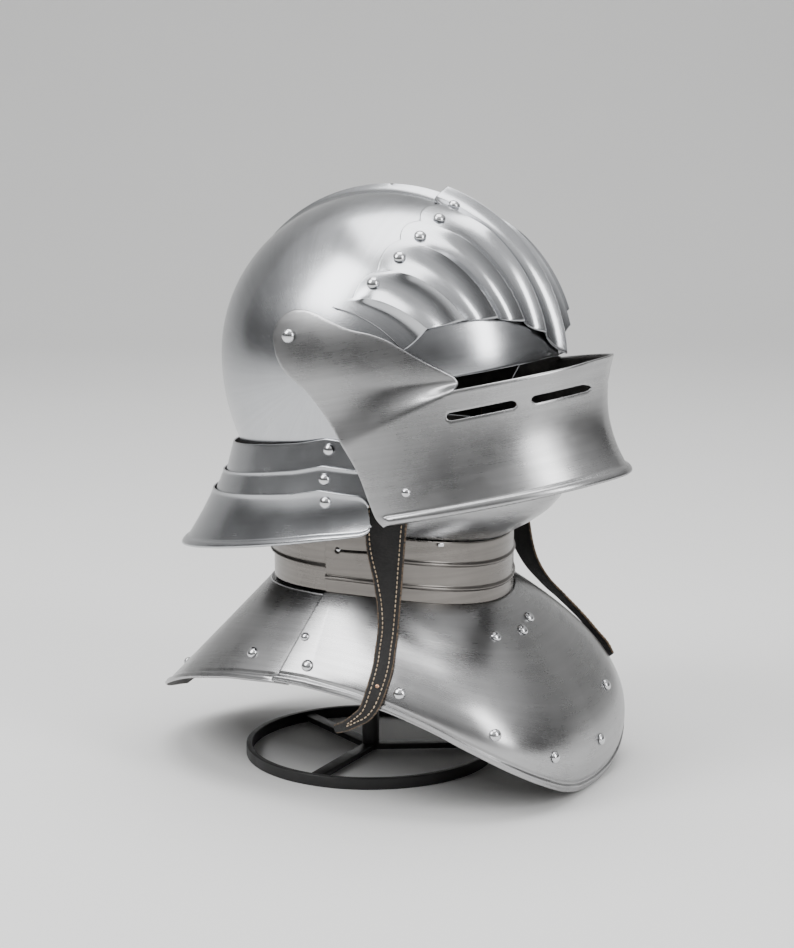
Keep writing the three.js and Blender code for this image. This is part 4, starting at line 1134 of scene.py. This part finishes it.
def makeChinPlate():
    # Angles round by shares up, and the same formula again with the wall as its inset
    a = np.radians(np.linspace(-chin["endAngle"], chin["endAngle"], 220))
    height = np.concatenate([np.linspace(-1, 0, 6)[:-1], np.linspace(0, 1, 60)])
    angle, up = np.meshgrid(a, height, indexing="ij")
    outer, inner = chinPoint(angle, up, 0), chinPoint(angle, up, chin["wall"])
    points, faces, origin, inside = shellGrid(outer, inner)
    grain = layOut(origin, angle * 100, up * 55)
    makePiece("chinPlate", points, faces, steelBrushed, ["chin_plate"], grain=grain, inside=inside)


makeChinPlate()
print("chin plate made")

strap = {
    "width": 29,
    "inset": 0.82,
    "leather": 2.4,
    "crown": 0.25,
    "edgeFrom": 0.86,  # share of the way across where the worn edge starts to thin
    "thinning": 0.35,
    "studAt": 0.66,
    "studRadius": 1.3,
    "studSink": 0.1,
    # out, ahead and up place the middle of the leather; then its width, the turn and the lift of its face
    "near": [
        (-0.01, 0.27, 1.717, 1, 10, 0),
        (-0.03, 0.27, 1.556, 1, 10, 0),
        (0.057, 0.266, 1.31, 1, 8, 0),
        (0.093, 0.26, 0.99, 0.926, 4, 2),
        (0.12, 0.275, 0.722, 0.654, 10, 10),
        (0.16, 0.285, 0.533, 0.492, 18, 26),
        (0.324, 0.304, 0.377, 0.424, 23, 42),
        (0.546, 0.323, 0.27, 0.421, 23, 44),
        (0.787, 0.341, 0.151, 0.423, 22, 36),
        (1.028, 0.334, -0.02, 0.4, 20, 24),
        (1.1, 0.308, -0.123, 0.334, 12, 8),
        (1.11, 0.266, -0.181, 0.266, 4, 2),
        (1.075, 0.206, -0.245, 0.2, -4, 0),
        (1.018, 0.151, -0.286, 0.156, -8, 0),
    ],
    "far": [
        (-0.015, 0.28, 1.717, 1, 10, 0),
        (-0.04, 0.286, 1.556, 1, 10, 0),
        (0.098, 0.312, 1.2, 1, 8, 0),
        (0.142, 0.362, 0.775, 0.75, 14, 4),
        (0.19, 0.415, 0.52, 0.6, 22, 16),
        (0.263, 0.487, 0.348, 0.54, 30, 30),
        (0.343, 0.575, 0.21, 0.5, 36, 32),
        (0.385, 0.665, 0.075, 0.48, 40, 30),
        (0.375, 0.745, -0.05, 0.48, 44, 24),
        (0.37, 0.79, -0.12, 0.5, 46, 20),
        (0.36, 0.82, -0.19, 0.5, 48, 16),
    ],
}


def strapPath(rows, side, t):
    # Between two rows the place is the cubic through four neighbours, whose slope at a row is half the
    # step from the row before to the row after
    rows = np.array(rows, float)
    x = side * mix(strap["inset"] * skull["halfWidth"], gorget["side"], rows[:, 0])
    z = mix(gorget["sideRim"], collar["sideTop"], rows[:, 2])
    places = np.stack([x, -rows[:, 1] * gorget["front"], z], -1)
    padded = np.vstack([2 * places[0] - places[1], places, 2 * places[-1] - places[-2]])
    at = np.clip(t, 0, 1) * (len(rows) - 1)
    i = np.minimum(at.astype(int), len(rows) - 2)
    s = (at - i)[..., None]
    a, b, c, d = (padded[i + k] for k in range(4))
    point = 0.5 * (2 * b + (c - a) * s + (2 * a - 5 * b + 4 * c - d) * s**2 + (3 * b - a - 3 * c + d) * s**3)
    smooth = [smoothTable(np.arange(len(rows)), rows[:, k], at) for k in (3, 4, 5)]
    return point, *smooth


def strapSurface(rows, side, t, across, depth):
    # The middle of the leather, plus half the width across its face and the depth along its normal
    point, width, turn, lift = strapPath(rows, side, t)
    turn, lift = np.radians(turn), np.radians(lift)
    face = unit(np.stack([side * np.cos(turn), -np.sin(turn), np.tan(lift)], -1))
    run = strapPath(rows, side, t + 0.01)[0] - strapPath(rows, side, t - 0.01)[0]
    wide = unit(np.cross(face, run))
    half = strap["width"] * width / 2
    return point + wide * (across * half)[..., None] + face * np.asarray(depth)[..., None]


def makeStraps():
    # The face is crowned by one less the square of the way across, and thins in a straight line
    # towards its worn edges
    for name, rows, side in (("near", strap["near"], -1), ("far", strap["far"], 1)):
        t, across = np.meshgrid(np.linspace(0, 1, 300), np.linspace(-1, 1, 25), indexing="ij")
        edge = np.clip((np.abs(across) - strap["edgeFrom"]) / (1 - strap["edgeFrom"]), 0, 1)
        thick = strap["leather"] / 2 - strap["thinning"] * edge
        outer = strapSurface(rows, side, t, across, thick - strap["crown"] * across**2)
        inner = strapSurface(rows, side, t, across, -thick)
        points, faces, origin, _ = shellGrid(outer, inner)
        wear = 0.8 * np.clip((edge - 0.35) * 1.2, 0, 1).reshape(-1)[origin]
        nodes = [f"strap_{name}"]
        makePiece(f"strap{name.title()}", points, faces, leather, nodes, wear=wear)


stitch = {
    "pitch": 3.1,
    "length": 2.3,
    "radius": 0.42,
    "fromEdge": 2.6,
    "over": 0.12,
    "arch": 0.3,
    "sink": 0.25,
    "lastRow": {"near": 0.93, "far": 0.97},
}


def makeStitches():
    # Along both long edges of each strap: the run is walked in even steps, and each stitch is an
    # arch between two of them, swept by a small circle that narrows to its ends
    for name, rows, side in (("near", strap["near"], -1), ("far", strap["far"], 1)):
        t = np.linspace(0.005, stitch["lastRow"][name], 1200)
        points, faces, base = [], [], 0
        for sign in (-1, 1):
            width = strap["width"] * strapPath(rows, side, t)[1] / 2
            across = sign * (1 - stitch["fromEdge"] / width)
            line = strapSurface(rows, side, t, across, np.full_like(t, strap["leather"] / 2 + stitch["over"]))
            deep = strapSurface(rows, side, t, across, np.zeros_like(t))
            out = unit(line - deep)
            run = np.concatenate([[0], np.cumsum(np.linalg.norm(np.diff(line, axis=0), axis=1))])
            starts = np.arange(0.5, run[-1] - stitch["pitch"], stitch["pitch"])
            share = np.linspace(0, 1, 7)
            at = starts[:, None] + share[None] * stitch["length"]
            centre = np.stack([np.interp(at, run, line[:, k]) for k in range(3)], -1)
            lift = unit(np.stack([np.interp(at, run, out[:, k]) for k in range(3)], -1))
            arch = stitch["arch"] * np.sin(np.pi * share) - stitch["sink"]
            centre = centre + lift * arch[None, :, None]
            along = unit(np.gradient(centre, axis=1))
            aside = np.cross(along, lift)
            thick = stitch["radius"] * np.sqrt(np.clip(1 - (2 * share - 1) ** 4, 0.02, 1))
            turn = np.linspace(0, 2 * np.pi, 8, endpoint=False)
            ring = np.cos(turn)[:, None] * aside[:, :, None] + np.sin(turn)[:, None] * lift[:, :, None]
            grid = centre[:, :, None] + ring * thick[None, :, None, None]
            index = base + np.arange(grid[..., 0].size).reshape(grid.shape[:3])
            a, b = index[:, :-1], index[:, 1:]
            quads = np.stack([a, b, np.roll(b, -1, axis=2), np.roll(a, -1, axis=2)], -1)
            faces += quads.reshape(-1, 4).tolist() + index[:, 0].tolist() + index[:, -1].tolist()
            points.append(grid.reshape(-1, 3))
            base += index.size
        makePiece(f"stitches{name.title()}", np.vstack(points), faces, thread, [])


def makeStrapStud():
    # One small dome near the tip of the near strap, on the middle line of its face
    t, middle = np.array([strap["studAt"]]), np.zeros(1)
    lift = strap["leather"] / 2 - strap["studSink"]
    at = strapSurface(strap["near"], -1, t, middle, np.array([lift]))[0]
    out = unit(at - strapSurface(strap["near"], -1, t, middle, middle)[0])
    points, faces = domeRing([(at, out, strap["studRadius"])])
    makePiece("strapStud", points, faces, copper, [])


makeStraps()
makeStitches()
print("straps made")

rivets = {
    "radius": 4,
    "height": 2.6,
    "small": 3,
    "tiny": 2,
    "seat": 0.35,
    "browSeat": 0.9,
    # place across each brow panel and row along it, from the side to the keel
    "browPlaces": [(0.44, 0.146), (0.41, 0.15), (0.3, 0.14), (0.3, 0.12), (0.42, 0.105)],
    # degrees round from the front, and share of the way to the rim
    "near": {"tip": (22, 0.725), "breast": (38.5, 0.71), "side": (61.1, 0.71), "shoulder": (91.1, 0.725)},
    "far": {"tip": (2, 0.7), "breast": (16, 0.575), "side": (52, 0.612), "shoulder": (91.1, 0.725)},
    "nape": {"near": (198, 0.69), "far": (190, 0.64)},
    "shoulderStud": (95.5, 0.485),
    "rear": (115.5, 0.658),
    "upper": [(-25, 0.25), (-9, 0.24), (1.5, 0.2)],
    # degrees round from the back, and share of the way down the lame
    "lames": [(92, 0.25), (91.5, 0.34), (92.5, 0.21)],
    "tailBack": (0, 0.72),
    # share of the way from the arms to the prow, and share of the visor's depth
    "visorShare": 0.447,
    "visorRow": 0.852,
    # distance out and height above the seat, both as shares
    "profile": [
        (1, 0), (1, 0.1), (0.97, 0.24), (0.9, 0.42), (0.78, 0.6), (0.6, 0.78), (0.4, 0.91), (0.2, 0.98),
        (0, 1),
    ],
}


def domeRing(places):
    # Each dome is its profile turned about the surface's normal, with a flat underside
    profile = np.array([(0, 0)] + rivets["profile"], float)
    turn = np.linspace(0, 2 * np.pi, 40, endpoint=False)
    parts = []
    for centre, out, radius in places:
        side = unit(np.cross(out, [0.3, 0.2, 1.0]))
        other = np.cross(out, side)
        height = rivets["height"] * radius / rivets["radius"]
        circle = np.cos(turn)[:, None] * side + np.sin(turn)[:, None] * other
        aside, above = profile[None, :, :1] * radius, profile[None, :, 1:] * height
        grid = centre + circle[:, None] * aside + out * above
        index = np.arange(grid.shape[0] * grid.shape[1]).reshape(grid.shape[:2])
        parts.append((grid.reshape(-1, 3), quadsAround(index)))
    return together(parts)


def seated(surface, u, v, lift):
    # A point on a surface and the direction square to it, away from the axis, from small steps
    step = 1e-3
    at = surface(np.array([u]), np.array([v]))[0]
    alongU = surface(np.array([u + step]), np.array([v]))[0] - surface(np.array([u - step]), np.array([v]))[0]
    alongV = surface(np.array([u]), np.array([v + step]))[0] - surface(np.array([u]), np.array([v - step]))[0]
    out = unit(np.cross(alongU, alongV))
    out = out if out[:2] @ at[:2] > 0 else -out
    return at + out * lift, out


def makeRivets():
    # Each rivet is seated on its plate's own surface. Those of one body and one kind make one piece.
    seat, radius, small, tiny = (rivets[key] for key in ("seat", "radius", "small", "tiny"))
    panels = len(brow["lines"]) - 1
    names = ["browRivets", "visorStuds", "lame1Rivets", "lame2Rivets", "lame3Rivets", "gorgetRivets"]
    groups = {name: [] for name in names + ["gorgetStuds"]}

    def add(group, node, surface, u, v, size, lift=seat):
        # One rivet, seated on a surface, joins its group
        groups[group].append((node, *seated(surface, u, v, lift), size))

    def onBrow(u, v):  # the brow plate's outer face
        return browPoint(u, v, brow["gap"] + brow["wall"])

    def onLame(index):  # a lame's outer face
        return lambda u, v: lameSurface(index, u, v)

    def onVisor(p, n):  # the visor's outer face
        return visorSurface(np.stack([p, n], -1))

    def onFront(degrees, v):  # the front gorget plate
        return gorgetPoint(degrees, v, 0)

    def onRear(degrees, v):  # the rear gorget plate
        return gorgetPoint(degrees, v, gorget["rearInset"])

    for name, side in (("near", -1), ("far", 1)):
        for i, (share, row) in enumerate(rivets["browPlaces"], 1):
            u = side * (1 - (i + share) / panels)
            add("browRivets", f"brow_rivet_{name}_{i}", onBrow, u, row, radius, rivets["browSeat"])
        for i, (angle, v) in enumerate(rivets["lames"], 1):
            add(f"lame{i}Rivets", f"tail_rivet_{name}_{i}", onLame(i - 1), -side * angle, v, radius)
        n = rivets["visorRow"] * visor["bottom"]
        f = mix(-visor["behind"], float(prowReach(np.array(n))), rivets["visorShare"])
        p = side * float(visorTurn(np.array(f), np.array(n)))
        add("visorStuds", f"visor_stud_{name}", onVisor, p, n, small)
        for part, (angle, v) in rivets[name].items():
            add("gorgetRivets", f"gorget_rivet_{name}_{part}", onFront, side * angle, v, radius)
        angle, v = rivets["shoulderStud"]
        add("gorgetStuds", f"shoulder_stud_{name}", onFront, side * angle, v, small)
        angle, v = rivets["rear"]
        add("gorgetRivets", f"gorget_rear_rivet_{name}", onRear, side * angle, v, radius)
        add("gorgetStuds", f"gorget_nape_rivet_{name}", onRear, *rivets["nape"][name], small)
        keyhole = collar["keyhole"]
        angle = side * math.radians(keyhole["angle"])
        out = np.array([math.sin(angle), -math.cos(angle), 0])
        centre = out * (collar["radius"] - collar["wall"] - collar["gap"] + seat) + [0, 0, keyhole["height"]]
        groups["gorgetStuds"].append((f"collar_stud_{name}", centre, out, tiny))
    for i, (angle, v) in enumerate(rivets["upper"], 1):
        add("gorgetRivets", f"gorget_rivet_upper_{i}", onFront, angle, v, radius)
    add("lame3Rivets", "tail_rivet_back", onLame(2), *rivets["tailBack"], small)
    bodies = {"visorStuds": "visor_body", "lame2Rivets": bodyOfLame[1], "lame3Rivets": bodyOfLame[2]}
    for group, items in groups.items():
        points, faces = domeRing([item[1:] for item in items])
        nodes = [item[0] for item in items]
        makePiece(group, points, faces, steelRivet, nodes, bodies.get(group, fixed))


makeRivets()
makeStrapStud()
print("rivets made")


def turnedProfile(profile, sides, centre, turnTo=None):
    # A profile of radius and height turned about an upright axis, closed where its radius is 0
    profile = np.array(profile, float)
    turn = np.linspace(0, 2 * np.pi, sides, endpoint=False)
    r, h = profile[None, :, 0], profile[None, :, 1]
    grid = np.stack([r * np.cos(turn)[:, None], r * np.sin(turn)[:, None], h + 0 * turn[:, None]], -1)
    if turnTo is not None:
        grid = np.stack([turnTo * grid[..., 2], grid[..., 0], grid[..., 1]], -1)
    index = np.arange(grid.shape[0] * grid.shape[1]).reshape(grid.shape[:2])
    return (grid + centre).reshape(-1, 3), quadsAround(index)


def makePivots():
    # From the axis out: a flat head under the skull, a shank, and a quarter circle for the dome, all
    # turned about the axis of the joint
    head, high, shank, seat = (pivot[key] for key in ("headRadius", "headHeight", "shankRadius", "seat"))
    reach = float(skullHalfWidth(*visorToSide(head, -head), visor["hug"])) + seat
    inside = float(skullHalfWidth(pivot["back"] + head, pivot["height"] + head, -skull["wall"])) - seat
    dome = [(head * math.cos(a), reach + high * math.sin(a)) for a in np.radians(np.linspace(0, 90, 12))]
    low = inside - pivot["innerHead"]
    profile = [(0, low), (head, low), (head, inside), (shank, inside), (shank, reach)] + dome
    centre = [0, pivot["back"], pivot["height"]]
    points, faces = together([turnedProfile(profile, 48, centre, side) for side in (-1, 1)])
    nodes = ["visor_pivot_near", "visor_pivot_far"]
    makePiece("visorPivots", points, faces, steelRivet, nodes, sharp=40)


makePivots()
print("pivots made")


def spin(angle):
    # The matrix that turns rows of points about the upright axis
    c, s = math.cos(angle), math.sin(angle)
    return np.array([[c, s, 0], [-s, c, 0], [0, 0, 1]])


catch = {"angle": -41, "out": 1.25, "drop": 1.1, "half": (2.1, 0.9, 1.3), "power": 6}


def makeCatch():
    # A block with rounded corners: a ball whose points are pushed out until the powers of their three
    # places add up to 1
    angle, power = math.radians(catch["angle"]), catch["power"]
    centre = around(collar["radius"] + catch["out"], angle, float(collarTop(angle)) - catch["drop"])
    sideways = np.radians(np.linspace(0, 360, 32, endpoint=False))
    lift = np.radians(np.linspace(-90, 90, 17))
    a, b = np.meshgrid(sideways, lift, indexing="ij")
    ball = np.stack([np.cos(b) * np.cos(a), np.cos(b) * np.sin(a), np.sin(b)], -1)
    block = ball / np.sum(np.abs(ball) ** power, -1, keepdims=True) ** (1 / power) * np.array(catch["half"])
    points = block.reshape(-1, 3) @ spin(angle) + centre
    faces = quadsAround(np.arange(a.size).reshape(a.shape))
    makePiece("chinCatch", points, faces, steelRivet, ["chin_catch"])


makeCatch()
print("catch made")

stand = {
    "radius": 88,
    "barWidth": 4,
    "barHeight": 8,
    "postRadius": 6,
    "spokeWidth": 9,
    "capRadius": 44,
    "capDepth": 6,
    "capGap": 0.3,
    "postInCap": 0.6,  # how deep the post runs into the cap, as a share of its depth
    "yokeWidth": 14,
    "yokeHeight": 4,
    "yokeAngle": 100.0,  # where the bar ends under the gorget, and the row of the plate there
    "yokeRow": 0.2,
    "yokeGap": 0.65,
    "yokeDrop": 2,
    "bevel": 0.7,
}


def bevelBox(low, high, bevel, turn=0.0):
    # A box from low to high whose edges are cut back, turned about the upright axis
    work = bmesh.new()
    bmesh.ops.create_cube(work, size=1)
    low, high = np.array(low, float), np.array(high, float)
    for vert in work.verts:
        vert.co = Vector((np.array(vert.co) + 0.5) * (high - low) + low)
    bmesh.ops.bevel(work, geom=work.edges[:], offset=bevel, segments=3, profile=0.5, affect="EDGES")
    points = np.array([tuple(vert.co) for vert in work.verts])
    faces = [[vert.index for vert in face.verts] for face in work.faces]
    work.free()
    return points @ spin(turn), faces


def makeStand():
    # A ring whose section is a box with a quarter circle at each corner, three spokes, a post, a bar
    # under the collar and a cap that follows the skull's ellipsoid from below
    radius, barWidth, barHeight = stand["radius"], stand["barWidth"], stand["barHeight"]
    corner = stand["bevel"]
    inner, outer, top = radius - barWidth + corner, radius - corner, barHeight - corner
    section = []
    for x, z, first in ((outer, top, 0), (inner, top, 90), (inner, corner, 180), (outer, corner, 270)):
        arc = np.radians(range(first, first + 91, 15))
        section += [(x + corner * math.cos(a), z + corner * math.sin(a)) for a in arc]
    parts = [turnedProfile(section + section[:1], 180, [0, postBack, 0])]
    for angle in (-60, 60, 180):
        low = [0, -stand["spokeWidth"] / 2, (barHeight - barWidth) / 2]
        high = [radius - barWidth / 2, stand["spokeWidth"] / 2, (barHeight + barWidth) / 2]
        points, faces = bevelBox(low, high, corner, math.radians(angle))
        parts.append((points + [0, postBack, 0], faces))
    capTop = skull["wall"] + rivets["seat"] + stand["capGap"]
    postTop = skull["level"] + skull["crown"] - capTop - stand["postInCap"] * stand["capDepth"]
    foot = (barHeight - barWidth) / 2
    post = [(0, foot), (stand["postRadius"], foot), (stand["postRadius"], postTop), (0, postTop)]
    parts.append(turnedProfile(post, 64, [0, postBack, 0]))
    under = gorget["rearInset"] + gorget["wall"] + stand["yokeGap"]
    end = gorgetPoint(np.array([stand["yokeAngle"]]), np.array([stand["yokeRow"]]), under)[0]
    high = end[2] - stand["yokeDrop"]
    low = [-end[0], postBack - stand["yokeWidth"] / 2, high - stand["yokeHeight"]]
    parts.append(bevelBox(low, [end[0], postBack + stand["yokeWidth"] / 2, high], corner))
    ring = np.radians(np.linspace(0, 360, 96, endpoint=False))
    reach = stand["capRadius"] * np.linspace(0, 1, 30)
    x = reach[None] * np.sin(ring)[:, None]
    y = postBack - reach[None] * np.cos(ring)[:, None]

    def onSkull(offset):  # the ellipsoid's equation solved for the height
        half = skull["halfWidth"] + offset
        reachY = np.where(y < 0, skull["front"], skull["back"]) + offset
        up = np.sqrt(1 - (x / half) ** 2 - (y / reachY) ** 2)
        return np.stack([x, y, skull["level"] + (skull["crown"] + offset) * up], -1)

    capFoot = capTop + stand["capDepth"]
    cap = shellGrid(onSkull(-capTop), onSkull(-capFoot), wraps=True, pole=True)
    points, faces = together(parts + [cap[:2]])
    makePiece("ringStand", points, faces, blackPaint, ["stand"], sharp=35)


makeStand()
print("stand made")

stage = {
    "floor": (0.80, 0.80, 0.795),
    "reach": 6.0,  # metres to each side and in front
    "flat": 2.2,  # metres behind the helmet, where the floor starts to bend up
    "bend": 1.2,
    "height": 4.0,
    "light": 0.85,
}
lights = {
    "key": {"place": (-1.3, 0.9, 1.7), "size": (0.9, 1.3), "power": 34},
    "front": {"place": (-0.5, -1.9, 1.1), "size": (0.5, 1.5), "power": 26},
    "top": {"place": (0.2, 0.1, 2.2), "size": (1.5, 1.5), "power": 40},
}


def makeStage():
    # A pale floor that bends up into a backdrop, with an even light from all round and soft panels
    work = bmesh.new()
    reach, flat, bend = stage["reach"], stage["flat"], stage["bend"]
    curve = np.radians(np.linspace(0, 90, 24))
    profile = [(-reach, 0.0)] + [(flat + bend * math.sin(a), bend - bend * math.cos(a)) for a in curve]
    profile.append((flat + bend, stage["height"]))
    turn = math.radians(cameraSettings["turn"])
    ahead = np.array([math.cos(turn), math.sin(turn), 0])
    aside = np.array([math.sin(turn), -math.cos(turn), 0])
    rows = []
    for far, up in profile:
        middle = ahead * far + np.array([0, 0, up])
        rows.append([work.verts.new(middle + aside * side) for side in (-reach, reach)])
    for a, b in zip(rows[:-1], rows[1:]):
        work.faces.new([a[0], a[1], b[1], b[0]])
    mesh = bpy.data.meshes.new("floor")
    work.to_mesh(mesh)
    work.free()
    mesh.polygons.foreach_set("use_smooth", np.ones(len(mesh.polygons), bool))
    material, tree, shader, place = startMaterial("paleFloor")
    pale = stage["floor"]
    dusty = tuple(0.985 * value for value in pale)
    colour = ramp(tree, noise(tree, place, 3, 2), [(0.3, dusty), (0.7, pale)])
    tree.links.new(colour, shader.inputs["Base Color"])
    shader.inputs["Roughness"].default_value = 0.7
    shader.inputs["Specular IOR Level"].default_value = 0.2
    mesh.materials.append(material)
    floor = bpy.data.objects.new("floor", mesh)
    bpy.context.scene.collection.objects.link(floor)

    world = bpy.data.worlds.new("softRoom")
    bpy.context.scene.world = world
    world.use_nodes = True
    tree = world.node_tree
    background = tree.nodes["Background"]
    direction = addNode(tree, "ShaderNodeTexCoord").outputs["Generated"]
    separate = addNode(tree, "ShaderNodeSeparateXYZ")
    tree.links.new(direction, separate.inputs[0])
    shade = ramp(tree, separate.outputs["Z"], [(0.0, 0.08), (0.12, 0.12), (0.4, 0.45), (0.75, 1.0)])
    tree.links.new(shade, background.inputs["Color"])
    background.inputs["Strength"].default_value = stage["light"]

    for name, settings in lights.items():
        data = bpy.data.lights.new(name, "AREA")
        data.shape = "RECTANGLE"
        data.size, data.size_y = settings["size"]
        data.energy = settings["power"]
        lamp = bpy.data.objects.new(name, data)
        lamp.location = settings["place"]
        lamp.rotation_mode = "QUATERNION"
        lamp.rotation_quaternion = (Vector((0, 0, 0.25)) - Vector(settings["place"])).to_track_quat("-Z", "Y")
        bpy.context.scene.collection.objects.link(lamp)


makeStage()
print("stage made")

print("scene finished")
